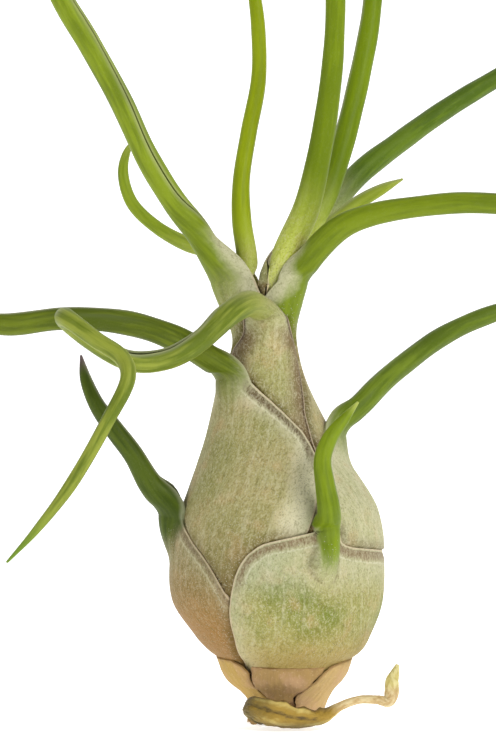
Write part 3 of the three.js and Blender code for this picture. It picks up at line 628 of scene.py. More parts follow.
def rolled(middle, side, groove, radius, half, wall, most):
    """Outer and inner lines of a rolled section, open towards the groove."""
    u = spread(COLUMNS)
    curl = np.minimum(half / radius, most)[:, None] * u
    thick = wall[:, None] * (1 - 0.6 * step(0.86, 1, np.abs(u)))
    lines = []
    for r in (radius[:, None], np.maximum(radius[:, None] * 0.25, radius[:, None] - thick)):
        lines.append(middle[:, None, :] + (r * np.sin(curl))[..., None] * side[:, None, :]
                     - (r * np.cos(curl))[..., None] * groove[:, None, :])
    return lines


def between(values, places):
    """Smooth reading between values that stand at places 0, 1, 2 and so on."""
    values = np.asarray(values, float)
    ends = np.concatenate([[2 * values[0] - values[1]], values, [2 * values[-1] - values[-2]]])
    i = np.clip(np.floor(places).astype(int), 0, len(values) - 2)
    k = places - i
    a, b, c, d = (ends[i + j] for j in range(4))
    return b + 0.5 * k * (c - a + k * (2 * a - 5 * b + 4 * c - d + k * (3 * (b - c) + d - a)))


def blade_rows(leaf, line, seed):
    """Outer and inner points of the rolled blade above the sheath, and their measures."""
    height, left, right = line[0][-1], line[1][-1], line[2][-1]
    az, radius = leaf["az"], leaf["radius"]
    inward = np.array([-math.sin(math.radians(az)), math.cos(math.radians(az)), 0])
    level_side = np.array([math.cos(math.radians(az)), math.sin(math.radians(az)), 0])

    def keel(h):
        out = leaf["lift"][2] * step(leaf["lift"][0], leaf["lift"][1], h) if "lift" in leaf else 0.0
        at = np.array([[az]]), np.array([[h]])
        return on_outline(BULB, *at, depth_under(*at) - out)[0, 0]

    table = np.array(leaf["points"], float)
    points = [keel(height - 4) + inward * radius, keel(height) + inward * radius, *table[:, :3]]
    spans = len(points) - 1
    reach = sum(np.linalg.norm(points[i + 1] - points[i]) for i in range(1, spans))
    places = np.linspace(1, spans, int(reach / ROW_GAP) + 2)
    here, ways = smooth_path(points, places)
    length = np.concatenate([[0], np.cumsum(np.linalg.norm(np.diff(here, axis=0), axis=1))])
    groove = carried(inward, ways)
    share = length / length[-1]
    opened = step(0, leaf["open"], length)
    own = np.maximum(TIP, between([radius, radius, *table[:, 3]], places))
    own = own * (1 + 0.025 * uneven(length, 14, seed + 5) * step(0, 8, length))
    turn = np.radians(curve_at(np.array(leaf.get("turn", ((0, 0), (1, 0))), float), share, 1))
    turned = (groove * np.cos(turn)[:, None] + np.cross(ways, groove) * np.sin(turn)[:, None])
    facing = inward + (turned - inward) * opened[:, None]
    facing /= np.linalg.norm(facing, axis=1, keepdims=True)
    side = np.cross(turned, ways)
    across = level_side + (side - level_side) * opened[:, None]
    across /= np.linalg.norm(across, axis=1, keepdims=True)
    layer = float(curve_at(BULB, height, 1) - depth_under(np.array([az]), np.array([height]))[0])
    section = 1 / (1 / layer + (1 / own - 1 / layer) * opened)
    middle = here + facing * (section - own)[:, None]
    wall = np.minimum(WALL, own * 0.55)
    curl = math.radians(leaf.get("curl", CURL))
    outer, inner = rolled(middle, across, facing, section, curl * own, wall, curl)
    # what the top row of the sheath adds to a plain arc, let go along the opening stretch
    top = np.array([height])
    first_outer, first_inner, _ = sheath_rows(leaf, line, top, np.array([[left]]), np.array([[right]]),
                                              np.array([[(left + right) / 2]]), seed)
    outer += (first_outer[0] - outer[0]) * (1 - opened)[:, None, None]
    inner += (first_inner[0] - inner[0]) * (1 - opened)[:, None, None]
    u = spread(COLUMNS)
    wide = (curl * own * opened + math.radians(right - left) / 2 * layer * (1 - opened))[:, None]
    bare = np.zeros((len(length), COLUMNS))
    return outer, inner, {"across": u * wide, "along": length[:, None] + bare,
                          "margin": (1 - np.abs(u)) * wide, "share": share[:, None] + bare,
                          "scurf": bare, "crevice": bare}


def grow_leaf(name, slot, finish, **leaf):
    """Grows one leaf over its solid: the sheath, then the blade, as one closed sheet.

    az is the leaf's direction, and edges are heights with the sheath's left and right margins.
    points are the middle line of the blade with its radius there, radius is the one it starts
    with, open the length over which it rolls up, curl how far, and turn how it twists on its
    way. lift gives the heights between which the blade's foot bulges out of the sheath, and
    how far out and how wide; foot gives its place and half width at each height instead, and
    round its fullness. dents are hollows, or swellings where the depth is below 0: direction,
    height, reach sideways, reach up and down, depth."""
    seed = 100 * (len(grown) + 1)
    line = margin_line(leaf["edges"])
    heights = sheath_heights(line, leaf.get("foot"))
    left = np.interp(heights, line[0], line[1])[:, None]
    right = np.interp(heights, line[0], line[2])[:, None]
    middle = np.full((len(heights), 1), float(leaf["az"]))
    sheath = sheath_rows(leaf, line, heights, left, right, middle, seed)
    blade = blade_rows(leaf, line, seed)
    outer, inner = (np.concatenate([sheath[k], blade[k][1:]]) for k in (0, 1))
    measures = {key: np.concatenate([sheath[2][key], blade[2][key][1:]]) for key in sheath[2]}
    mesh = sheet_mesh(name, outer, inner, measures, outside_only=("scurf",))
    grown.append(line)
    values = {key: shade(value) if isinstance(value, tuple) else value for key, value in finish.items()}
    material = group_finish(name + "_skin", skin, values, SKIN_RELIEF, Specular_IOR_Level=0.15)
    put_piece(name + "_grown", mesh, material, name)


def leaf_skin():
    """Skin of a leaf: a smooth green blade, a silvery olive sheath with a fine grain and a tan
    foot, and along the sheath's upper margin a brown band between two pale lines.

    Foot height, Foot blur, Band above and Silver above are in metres. Other lengths are in
    millimetres across the leaf, or along it from the line at which the blade begins."""
    group, given, out = new_group("leaf_skin", {
        "Blade": (124, 146, 32), "Blade dark": (100, 122, 24), "Tip": (150, 160, 70),
        "Sheath": (178, 170, 118), "Sheath green": (140, 148, 78), "Silver": (216, 212, 184),
        "Foot": (196, 156, 100), "Band": (122, 98, 80),
        "Green from": -9.0, "Green to": 5.0, "Green width": 99.0, "Green patches": 0.5,
        "Foot height": 0.012, "Foot blur": 0.005,
        "Band width": 1.6, "Band strength": 0.8, "Band above": 0.0, "Brown margin": 0.0,
        "Silver margin": 0.5, "Silver width": 1.0, "Silver reach": 1.0, "Silver above": 9.0,
        "Silver line": -99.0})

    def times(a, b):
        return count_up(group, "MULTIPLY", a, b)

    def plus(a, b):
        return count_up(group, "ADD", a, b)

    def less(a, b):
        return count_up(group, "SUBTRACT", a, b)

    def ramp(*values):
        return rise(group, *values)

    def over(base, amount, colour):
        return blend(group, amount, base, shade(colour) if isinstance(colour, tuple) else colour)

    place = add(group, "ShaderNodeTexCoord").outputs["Object"]
    height = add(group, "ShaderNodeSeparateXYZ", {0: place}).outputs[2]
    measure = add(group, "ShaderNodeUVMap", uv_map="leaf_measure").outputs[0]
    across, along, _ = add(group, "ShaderNodeSeparateXYZ", {0: measure}).outputs
    margin, share, crevice = (add(group, "ShaderNodeAttribute", attribute_name=key).outputs["Fac"]
                              for key in ("margin", "share", "crevice"))
    stripes = noise(group, measure, 1.0, 3, 0.55, (1.1, 0.09, 1))
    dashes = noise(group, measure, 1.0, 3, 0.6, (2.4, 1.2, 1), 0.8)
    wrinkles = noise(group, measure, 1.0, 4, 0.6, (1.5, 0.9, 1), 1.6)
    grain = noise(group, place, 3300, 2, 0.65)
    patches = noise(group, place, 66, 3, 0.55)
    tints = noise(group, place, 240, 3, 0.6)
    # sheath: green patches, pinkish tints, faint stripes
    greener = times(ramp(patches, 0.40, 0.64), given["Green patches"])
    sheath = over(given["Sheath"], greener, given["Sheath green"])
    sheath = over(sheath, ramp(tints, 0.50, 0.72, 0, 0.45), (192, 160, 112))
    sheath = over(sheath, ramp(tints, 0.46, 0.30, 0, 0.35), given["Sheath green"])
    sheath = over(sheath, ramp(stripes, 0.50, 0.72, 0, 0.25), given["Silver"])
    sheath = over(sheath, ramp(stripes, 0.50, 0.30, 0, 0.22), given["Blade dark"])
    # a paler shoulder, partly silvery scales and partly painted highlight; a lengthwise streak of painted
    # highlight; and its tan foot
    sheath = over(sheath, ramp(less(height, given["Silver above"]), -0.003, 0.003, 0, 0.42), (204, 202, 170))
    off_line = plus(count_up(group, "ABSOLUTE", less(across, given["Silver line"])), times(tints, -5.0))
    sheath = over(sheath, ramp(off_line, 3.5, -1.5, 0, 0.8), (208, 202, 162))
    foot = less(plus(height, times(patches, -0.006)), given["Foot height"])
    foot = count_up(group, "DIVIDE", foot, given["Foot blur"])
    sheath = over(sheath, ramp(foot, 1.0, -1.0, 0, 0.9), given["Foot"])
    # its silvery side, and painted shade in the crease where it comes out from under another sheath and
    # round the blade's foot
    inward = count_up(group, "DIVIDE", margin, given["Silver width"])
    silver_side = ramp(plus(inward, times(tints, -3.0)), -1.5, 4.5, 1, 0)
    sheath = over(sheath, times(silver_side, given["Silver margin"]), given["Silver"])
    sheath = over(sheath, times(crevice, ramp(tints, 0.3, 0.6, 0.75, 0.45)), (98, 80, 42))
    # blade: two greens in stripes and patches, a pale margin, a tip of its own colour
    tone = plus(times(stripes, 0.55), times(patches, 0.45))
    blade = over(given["Blade dark"], ramp(tone, 0.40, 0.60), given["Blade"])
    blade = over(blade, ramp(margin, 0.9, 0.0, 0, 0.25), given["Silver"])
    blade = over(blade, ramp(share, 0.86, 1.0, 0, 0.85), given["Tip"])
    # how far the blade's green has taken over from the sheath, last at its sides
    side = count_up(group, "ABSOLUTE", across)
    reach = plus(plus(along, times(times(side, side), -0.14)), times(dashes, 4.5))
    span = less(given["Green to"], given["Green from"])
    green = ramp(count_up(group, "DIVIDE", less(reach, given["Green from"]), span), 0.0, 1.0)
    narrow = ramp(less(side, given["Green width"]), 0.4, -0.4)
    green = times(green, count_up(group, "MAXIMUM", narrow, ramp(along, -1.0, 1.5)))
    colour = over(sheath, green, blade)
    # silvery margin that runs on for a while up the blade
    edge_silver = times(ramp(plus(inward, times(tints, -2.4)), 1.6, -0.6),
                        ramp(less(given["Silver reach"], along), 0.0, 5.0))
    silvered = times(edge_silver, given["Silver margin"])
    colour = over(colour, silvered, (192, 190, 152))
    # margin of the sheath: a brown band with a pale line inside it, or a brown, dried edge
    wavy = plus(margin, times(less(patches, 0.5), 1.6))
    wavy = plus(wavy, times(less(dashes, 0.5), 0.45))
    past = less(wavy, given["Band width"])
    high = ramp(less(height, given["Band above"]), -0.0015, 0.0025)
    band = times(times(ramp(margin, 0.28, 0.5), ramp(past, -0.8, 0.3, 1, 0)),
                 times(ramp(dashes, 0.30, 0.62, 1, 0.6), times(given["Band strength"], high)))
    inner_line = times(times(ramp(past, -0.05, 0.15), ramp(past, 0.45, 0.2)),
                       times(high, times(given["Band strength"], 0.4)))
    on_sheath = ramp(green, 0.7, 0.1)
    colour = over(colour, times(band, on_sheath), given["Band"])
    colour = over(colour, times(inner_line, on_sheath), given["Silver"])
    blotch = times(ramp(plus(margin, times(patches, 6.0)), 8.2, 4.4),
                   times(given["Brown margin"], ramp(height, 0.0705, 0.067)))
    colour = over(colour, times(times(blotch, 0.8), on_sheath), (108, 76, 48))
    dried = times(ramp(margin, 1.3, 0.2), given["Brown margin"])
    colour = over(colour, times(dried, on_sheath), (66, 44, 28))
    # fine silvery and dark grain, dense on the sheath and sparse on the blade
    cover = count_up(group, "MAXIMUM", ramp(green, 0.0, 1.0, 1.0, 0.05), silvered)
    scurf = plus(plus(times(grain, 0.3), times(dashes, 0.3)), times(wrinkles, 0.4))
    off_band = times(less(cover, times(band, 0.8)), ramp(foot, -1.0, 1.0, 0.3, 1.0))
    colour = over(colour, times(ramp(scurf, 0.49, 0.60, 0, 0.44), off_band), (208, 202, 168))
    colour = over(colour, times(ramp(scurf, 0.50, 0.39, 0, 0.48), cover), (104, 96, 50))
    # pale line along the very edge of the sheath
    edge = times(ramp(margin, 0.34, 0.16, 0, 0.65), ramp(green, 0.6, 0.0))
    colour = over(colour, edge, (204, 184, 154))
    group.links.new(colour, out["Color"])
    group.links.new(plus(plus(times(green, -0.10), times(grain, 0.12)), 0.52), out["Roughness"])
    group.links.new(plus(times(scurf, cover), times(stripes, 0.5)), out["Height"])
    return group


skin = leaf_skin()
grow_leaf(
    "leaf_low_right", "green_leaf", az=27, radius=2.0, open=3.5, lift=(25.0, 29.4, 2.7, 2.7), round=0.75,
    edges=[
        [6.8, -50, 100], [9.6, -44, 102], [15, -34, 106], [21.4, -27, 108], [26.6, -23, 108],
        [28.2, -21, 107.5], [29.0, -19.5, 105], [29.7, -18, 94], [30.4, -16.5, 76], [30.9, -14, 56],
        [31.3, -12.6, 42], [32.2, -9.5, 36], [33.1, 3, 35], [34.2, 19.5, 34.5]],
    foot=[
        [25.1, -0.2, 0.05], [25.6, -0.25, 1.1], [26.4, -0.45, 1.9], [27.6, -0.75, 2.5], [29.0, -0.85, 2.7],
        [31.0, -0.45, 2.45], [33.0, -0.1, 2.1], [34.2, 0, 2.0]],
    dents=[
        [30, 20.5, 3.6, 3.6, -0.4], [9, 30, 2.0, 3.0, 0.4], [42, 28.5, 2.0, 2.6, 0.2],
        [18, 17, 9, 3.6, -0.4]],
    points=[
        [6.6, -19.6, 38.5, 1.95], [6.0, -19.6, 42.5, 1.7], [5.6, -19.4, 46.5, 1.5], [6.8, -19, 50, 1.3],
        [9.2, -18.4, 53.2, 0.95], [11.7, -17.4, 56.2, 0.2]],
    finish=dict(
        Blade=(122, 142, 22), Blade_dark=(98, 118, 14), Sheath=(158, 154, 88), Sheath_green=(108, 122, 36),
        Green_patches=1.0, Green_from=-7.5, Green_to=-0.5, Green_width=2.2, Band_width=2.1,
        Band_strength=0.9, Band_above=0.0245, Tip=(176, 186, 90), Silver_margin=0.25, Foot_height=0.012,
        Silver_above=0.0245, Band=(124, 98, 72), Foot=(172, 148, 86)))
grow_leaf(
    "leaf_low_left", "green_leaf", az=-85, radius=2.4, open=7, lift=(27.5, 37.5, 3.7, 5.1),
    edges=[
        [6.8, -165, -10], [15, -162, -16], [21.4, -153, -24], [25.8, -141, -33], [28.2, -132, -39],
        [30.1, -124, -45], [32.6, -113, -56], [35.5, -101, -69]],
    points=[
        [-24.4, -3.5, 42.3, 2.15], [-27.0, -4.5, 46.9, 1.85], [-30.4, -5, 51.4, 1.65],
        [-33.4, -4.5, 55.6, 1.42], [-35.4, -3, 60, 1.05], [-36.4, -1, 64.2, 0.2]],
    # its brown lower sheath and foot are partly their own colour and partly painted shade low on the left
    finish=dict(
        Blade=(78, 94, 18), Blade_dark=(58, 74, 10), Sheath=(146, 132, 84), Sheath_green=(120, 118, 62),
        Green_patches=0.8, Green_from=-8.0, Green_to=0.0, Band_width=1.3, Band_strength=0.8,
        Band_above=0.021, Tip=(98, 76, 84), Silver_margin=0.15, Foot_height=0.021, Foot_blur=0.008,
        Foot=(152, 110, 54)))

# ----------------------------------------------------------------------------------------
# Middle leaves. Two leathery leaves that grow from the stem inside the lower ones. Their
# sheaths wrap the body of the bulb, one round the left, one round the right and the back,
# and their long rolled blades arch out to both sides.
# ----------------------------------------------------------------------------------------
grow_leaf(
    "leaf_mid_left", "green_leaf", az=-51, radius=2.3, open=7, lift=(54, 61.5, 2.2, 5.2),
    edges=[
        [6.8, -110, -5], [15, -124, 2], [21.4, -134, 6], [25.8, -140, 10], [34.5, -147, 16],
        [38.9, -150, 22], [44.1, -150, 33], [46.9, -146, 37], [49.4, -141, 36], [51.2, -136, 33],
        [54.2, -122, 20], [56.4, -108, 8], [59.5, -87, -15]],
    dents=[
        [10, 41.5, 1.1, 7.5, 0.2], [-4, 42, 4.5, 8, -0.3], [18, 42, 1.8, 6, -0.2], [-60, 47, 5, 8, 0.25]],
    points=[
        [-15.4, -10.5, 64.8, 2.3], [-21.5, -15.5, 67.9, 2.2], [-28.4, -19.5, 69.8, 2.1],
        [-38, -23, 70.3, 1.95], [-48, -25, 69.3, 1.88], [-56, -25.5, 70.9, 1.6], [-62, -24, 75.6, 1.1],
        [-65, -20, 81, 0.2]],
    # its dark tan foot is partly its own colour and partly painted shade beside the low right leaf's margin
    finish=dict(
        Blade=(104, 118, 24), Blade_dark=(78, 92, 14), Sheath=(170, 160, 108), Sheath_green=(148, 146, 86),
        Green_patches=0.8, Green_from=-6.0, Green_to=5.0, Band_width=2.1, Band_strength=1.0,
        Band=(92, 70, 48), Silver_margin=0.7, Foot_height=0.026, Foot_blur=0.012, Foot=(116, 94, 58),
        Silver_line=19.0, Band_above=0.0455))
grow_leaf(
    "leaf_mid_right", "green_leaf", az=80, radius=2.0, open=7, lift=(44, 51.3, 2.6, 5.1),
    edges=[
        [6.8, 40, 170], [15, 29, 195], [21.4, 16, 212], [25.8, 10, 221], [30.1, 7, 225], [34.5, 5, 222],
        [38.9, 7, 210], [41.5, 12, 197], [44.1, 21, 178], [45.6, 29, 161], [46.9, 37, 143], [48.2, 47, 123],
        [49.3, 55, 105]],
    points=[
        [13.9, 0, 56.6, 2.0], [17.0, 3, 59.6, 1.95], [20.8, 7, 62.6, 1.88], [27.7, 13, 67.4, 1.8],
        [35.3, 18, 71, 1.68], [43.5, 22, 73.4, 1.4], [52, 26, 73.6, 1.0], [60, 29, 71, 0.7],
        [65, 31, 66, 0.2]],
    # its pale sheath is partly its own silvery tone and partly painted light on the lit right side
    finish=dict(
        Blade=(110, 130, 30), Blade_dark=(86, 106, 18), Sheath=(200, 196, 160),
        Sheath_green=(168, 168, 110), Green_patches=0.5, Green_from=-5.0, Green_to=5.0, Band_width=0.8,
        Band_strength=0.5, Silver_margin=0.4))

# ----------------------------------------------------------------------------------------
# Front leaf. A leathery leaf with a dried brown margin. Its sheath grows from the stem up
# the front of the neck, and its rolled blade bends forwards, curls, and hangs at the left.
# ----------------------------------------------------------------------------------------
grow_leaf(
    "leaf_front", "green_leaf", az=4, radius=2.3, open=5.5, lift=(64.5, 72.6, 2.4, 5.2),
    turn=[(0, 0), (0.15, 0), (0.6, -130), (1, -130)],
    edges=[
        [6.8, -36, 44], [15, -30, 42], [44.1, -30, 38], [49.4, -30, 41], [54.2, -30, 47], [58, -35, 60],
        [61, -58, 71], [63, -80, 77], [64.8, -83, 79], [66.2, -67, 75], [67.4, -50, 68], [68.8, -42, 58],
        [70.6, -38, 44]],
    points=[
        [-6.8, -14.2, 73, 2.25], [-10.4, -19.5, 71, 2.1], [-15.2, -25.2, 66.4, 1.9],
        [-20.5, -29.5, 63.5, 1.82], [-26.5, -33.5, 63.2, 1.75], [-32.5, -38.5, 66.6, 1.7],
        [-36.2, -43.5, 69.8, 1.62], [-35.6, -48.3, 69.8, 1.5], [-31.2, -51.5, 66.6, 1.38],
        [-26.6, -54, 63.4, 1.3], [-25.7, -56.4, 60.4, 1.2], [-28.8, -57, 53.8, 1.12],
        [-34.8, -54, 43.6, 0.98], [-40.4, -50.5, 36.4, 0.66], [-45.2, -47, 31.2, 0.2]],
    finish=dict(
        Blade=(140, 150, 54), Blade_dark=(96, 112, 26), Sheath=(168, 163, 106), Sheath_green=(150, 148, 84),
        Green_patches=0.6, Green_from=-3.0, Green_to=18.0, Band_width=0.9, Band_strength=0.5,
        Silver_margin=0.3, Brown_margin=1.0, Tip=(108, 140, 40), Foot=(150, 128, 84)))

# ----------------------------------------------------------------------------------------
# Upper leaves. Three strong leathery leaves, whose sheaths clasp each other and make the
# neck: a thick one to the upper left, one that arches to the right, a dark one behind it.
# ----------------------------------------------------------------------------------------
grow_leaf(
    "leaf_upper_left", "green_leaf", az=-82, radius=2.35, open=9, curl=176, lift=(66.6, 79, 3.6, 6),
    turn=[(0, 0), (0.08, 0), (0.2, -58), (0.5, -42), (1, -30)],
    edges=[
        [6.8, -120, -44], [25.8, -120, -44], [30.1, -130, -44], [34.5, -148, -44], [38.9, -170, -44],
        [44.1, -190, -42], [52, -198, -30], [58, -198, -8], [62.5, -196, 7], [70, -184, 6], [72, -174, 3],
        [74, -162, -1], [77, -140, -14]],
    points=[
        [-15.4, -4.2, 85.2, 2.3], [-19.7, -6, 90.8, 2.22], [-24.4, -8.6, 98.4, 2.08],
        [-29.2, -11, 108.6, 2.02], [-34.4, -12.6, 118, 2.05], [-40.4, -13.4, 128.6, 1.92],
        [-42.7, -11, 141.2, 1.6], [-38.9, -6, 152.2, 1.15], [-31, 0, 158, 0.2]],
    finish=dict(
        Blade=(130, 148, 28), Blade_dark=(104, 122, 18), Sheath=(156, 154, 88), Sheath_green=(138, 142, 66),
        Green_patches=0.7, Green_from=-8.0, Green_to=7.0, Band_width=0.5, Band_strength=0.2,
        Silver_margin=1.0, Silver_reach=12.0, Silver_width=1.3, Silver=(204, 200, 166)))
grow_leaf(
    "leaf_upper_right", "green_leaf", az=56, radius=2.3, open=6, lift=(67, 79, 3.0, 5.4),
    edges=[
        [6.8, 50, 100], [15, 26, 100], [25.8, 24, 104], [34.5, 24, 124], [38.9, 24, 138], [44.1, 24, 156],
        [52, 14, 174], [58, 0, 178], [62.5, -10, 178], [66, -11, 174], [68, -11, 166], [70, -10, 155],
        [72, -8, 137], [74, -1, 119], [77, 22, 98]],
    points=[
        [5.5, -7.2, 83.2, 2.3], [9.6, -8.6, 86.7, 2.2], [14.6, -9.8, 88.6, 1.98], [22, -12, 89.8, 1.86],
        [31, -14, 90.4, 1.86], [41, -15, 89.4, 1.72], [50, -15, 86.1, 1.38], [57.5, -13, 80, 0.85],
        [61.5, -9.5, 73.5, 0.2]],
    finish=dict(
        Blade=(118, 136, 20), Blade_dark=(98, 116, 14), Sheath=(184, 172, 128), Sheath_green=(160, 160, 90),
        Green_patches=0.4, Green_from=-13.0, Green_to=-3.0, Band_width=0.5, Band_strength=0.3,
        Silver_margin=0.9, Silver_reach=9.0, Silver_width=1.2, Silver=(204, 200, 166)))
grow_leaf(
    "leaf_back_right", "green_leaf", az=145, radius=1.85, open=7, curl=174,
    turn=[(0, 0), (0.1, 0), (0.3, -80), (1, -80)],
    edges=[
        [6.8, 124, 168], [44.1, 124, 168], [58, 122, 170], [66, 122, 172], [72, 126, 172], [76, 130, 172]],
    points=[
        [-2.5, 7.2, 80, 1.85], [2.0, 9.7, 85.4, 1.95], [8, 12.6, 91.6, 2.1], [13.6, 16, 97.8, 2.12],
        [20.8, 21, 103.6, 2.05], [28.6, 27, 109.5, 1.9], [36.6, 32, 114.8, 1.85], [45, 37, 119.6, 1.68],
        [54, 41, 122.2, 1.4], [62.5, 43.5, 121.4, 0.95], [69, 44.5, 117, 0.2]],
    # its pale base, green only from high up, is partly painted light where the neck shades it
    finish=dict(
        Blade=(94, 118, 22), Blade_dark=(74, 98, 16), Green_from=14.0, Green_to=34.0, Silver_margin=0.8,
        Band_strength=0.0, Sheath=(186, 192, 128)))

# ----------------------------------------------------------------------------------------
# Young leaves. The newest and brightest leaves, narrow and yellow green, grown from the
# heart of the neck: a curled one, two tall ones, a thin waved one, a short one, a sprout.
# ----------------------------------------------------------------------------------------
# their pale bases are partly their own colour and partly painted light where the neck shades them
YOUNG = dict(Green_from=3.0, Green_to=26.0, Band_strength=0.0, Silver_margin=0.2,
             Sheath=(206, 214, 94), Sheath_green=(184, 196, 66))
grow_leaf(
    "leaf_curl", "young_leaf", az=-152, radius=1.2, open=4, turn=[(0, 0), (0.1, 0), (0.3, 100), (1, 100)],
    edges=[
        [6.8, -172, -130], [44.1, -172, -130], [66, -173, -130], [72, -172, -132], [76, -172, -134]],
    points=[
        [-7.8, 6.8, 79.6, 1.35], [-12.2, 9, 82.7, 1.45], [-18, 10.6, 84.4, 1.35], [-23.9, 12.6, 87.8, 1.25],
        [-28.2, 14, 92.2, 1.12], [-29.8, 15, 97.6, 0.98], [-29.2, 14.6, 101.2, 0.7],
        [-27.6, 13.6, 103.8, 0.25]],
    finish=dict(YOUNG, Blade=(134, 152, 32), Blade_dark=(104, 124, 16)))
grow_leaf(
    "leaf_tall_back", "young_leaf", az=96, radius=1.75, open=7,
    edges=[[6.8, 74, 116], [44.1, 74, 116], [66, 72, 116], [76, 76, 114]],
    points=[
        [0.9, 2.0, 80.6, 1.8], [4.2, 3.8, 87, 1.88], [7.5, 6.2, 94, 1.95], [10.6, 10, 104, 2.0],
        [13.4, 13.2, 115.4, 1.95], [15.6, 15.8, 127, 1.8], [16.4, 17.6, 140, 1.5], [14.6, 18.6, 152, 1.0],
        [11.4, 18.8, 160, 0.2]],
    finish=dict(YOUNG, Blade=(112, 134, 2), Blade_dark=(98, 120, 0)))
grow_leaf(
    "leaf_thin", "young_leaf", az=-75, radius=1.85, open=6,
    edges=[
        [6.8, -100, -50], [44.1, -100, -50], [58, -106, -44], [66, -112, -38], [72, -112, -38],
        [76, -110, -40]],
    points=[
        [-7.2, -0.4, 81.4, 1.9], [-8.1, 1, 88, 1.72], [-8.2, 3, 95.2, 1.55], [-6.9, 5, 104, 1.48],
        [-5.1, 6.8, 114, 1.38], [-5.2, 8, 124, 1.28], [-6.4, 9, 134, 1.02], [-7.2, 8, 146, 0.2]],
    finish=dict(YOUNG, Blade=(146, 162, 8), Blade_dark=(132, 148, 4), Green_from=-4.0, Green_to=16.0))
grow_leaf(
    "leaf_short", "young_leaf", az=125, radius=0.9, open=4,
    edges=[[6.8, 108, 136], [44.1, 108, 136], [66, 108, 140], [76, 110, 140]],
    points=[
        [-0.4, 4.4, 80, 0.95], [3.2, 6.3, 84, 1.1], [8.4, 7.3, 88.4, 1.25], [13.2, 8.6, 92, 1.25],
        [17.2, 9.6, 94.3, 1.0], [21.0, 11, 96.2, 0.2]],
    finish=dict(YOUNG, Blade=(140, 154, 40), Blade_dark=(122, 138, 30)))
grow_leaf(
    "leaf_tall_front", "young_leaf", az=30, radius=2.1, open=7,
    edges=[
        [6.8, 8, 52], [44.1, 8, 52], [58, 4, 56], [66, 0, 60], [72, 4, 58], [76, 6, 56]],
    points=[
        [-0.5, -3, 82, 2.3], [3.1, -4, 89.6, 2.4], [5.3, -5.4, 98.4, 2.15], [7.0, -7, 108.4, 1.98],
        [8.0, -8.8, 118.4, 1.82], [8.1, -11, 130, 1.65], [6.3, -13.4, 142.6, 1.35], [2.6, -15, 153, 0.85],
        [-2, -15.4, 160, 0.2]],
    finish=dict(YOUNG, Blade=(114, 134, 4), Blade_dark=(100, 120, 0)))
grow_leaf(
    "leaf_sprout", "young_leaf", az=0, radius=0.8, open=2.5,
    edges=[
        [6.8, -18, 18], [44.1, -18, 18], [66, -20, 18], [73, -22, 18], [75, -18, 16], [76.6, -10, 10]],
    points=[[-4.3, -4.3, 78.2, 0.7], [-4.1, -4.4, 79.4, 0.5], [-3.9, -4.4, 80.6, 0.2]],
    finish=dict(
        YOUNG, Blade=(128, 128, 50), Blade_dark=(92, 92, 34), Sheath=(116, 116, 40),
        Sheath_green=(96, 98, 30)))

# ----------------------------------------------------------------------------------------
# Scales. Tiny silvery scales of dry, empty cells, that the plant drinks with. They grow out
# of the skin of the sheaths, close together where no other sheath covers it.
# ----------------------------------------------------------------------------------------
def scale_grower():
    """Geometry nodes that scatter scales over a leaf, where its scurf measure asks for them."""
    tree = bpy.data.node_groups.new("silvery_scales", "GeometryNodeTree")
    for name, way, kind, value in (
            ("Geometry", "INPUT", "Geometry", None), ("Number in a square metre", "INPUT", "Float", 3.5e6),
            ("Radius", "INPUT", "Float", 0.00010), ("Seed", "INPUT", "Int", 7),
            ("Material", "INPUT", "Material", None), ("Geometry", "OUTPUT", "Geometry", None)):
        socket = tree.interface.new_socket(name=name, in_out=way, socket_type="NodeSocket" + kind)
        if value is not None:
            socket.default_value = value
    given = tree.nodes.new("NodeGroupInput").outputs
    scurf = add(tree, "GeometryNodeInputNamedAttribute", {"Name": "scurf"}, data_type="FLOAT")
    number = count_up(tree, "MULTIPLY", scurf.outputs["Attribute"], given["Number in a square metre"])
    places = add(tree, "GeometryNodeDistributePointsOnFaces", {
        "Mesh": given["Geometry"], "Density": number, "Seed": given["Seed"]})
    low = count_up(tree, "MULTIPLY", given["Radius"], 0.25)
    scale = add(tree, "GeometryNodeMeshCone", {
        "Vertices": 5, "Radius Top": 0.0, "Radius Bottom": given["Radius"], "Depth": low})
    sunk = add(tree, "ShaderNodeCombineXYZ", {2: count_up(tree, "MULTIPLY", low, -0.3)})
    rooted = add(tree, "GeometryNodeTransform", {
        "Geometry": scale.outputs["Mesh"], "Translation": sunk.outputs[0]})
    size = add(tree, "FunctionNodeRandomValue", {2: 0.55, 3: 1.3, "Seed": given["Seed"]}, data_type="FLOAT")
    stand = add(tree, "GeometryNodeInstanceOnPoints", {
        "Points": places.outputs["Points"], "Instance": rooted.outputs["Geometry"],
        "Rotation": places.outputs["Rotation"], "Scale": size.outputs[1]})
    real = add(tree, "GeometryNodeRealizeInstances", {0: stand.outputs[0]})
    dressed = add(tree, "GeometryNodeSetMaterial", {
        "Geometry": real.outputs[0], "Material": given["Material"]})
    tree.links.new(dressed.outputs[0], tree.nodes.new("NodeGroupOutput").inputs[0])
    return tree


def scatter_scales(leaf, tree, material, seed):
    """Grows the scales of one leaf as a piece of their own."""
    bearer = bpy.data.objects[leaf + "_grown"]
    grower = bearer.modifiers.new("scales", "NODES")
    grower.node_group = tree
    for item in tree.interface.items_tree:
        if item.in_out == "INPUT" and item.name in ("Seed", "Material"):
            grower[item.identifier] = seed if item.name == "Seed" else material
    evaluated = bearer.evaluated_get(bpy.context.evaluated_depsgraph_get())
    mesh = bpy.data.meshes.new_from_object(evaluated)
    bearer.modifiers.remove(grower)
    piece = bpy.data.objects.new(leaf + "_scales", mesh)
    bpy.context.scene.collection.objects.link(piece)
    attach(piece, "root")


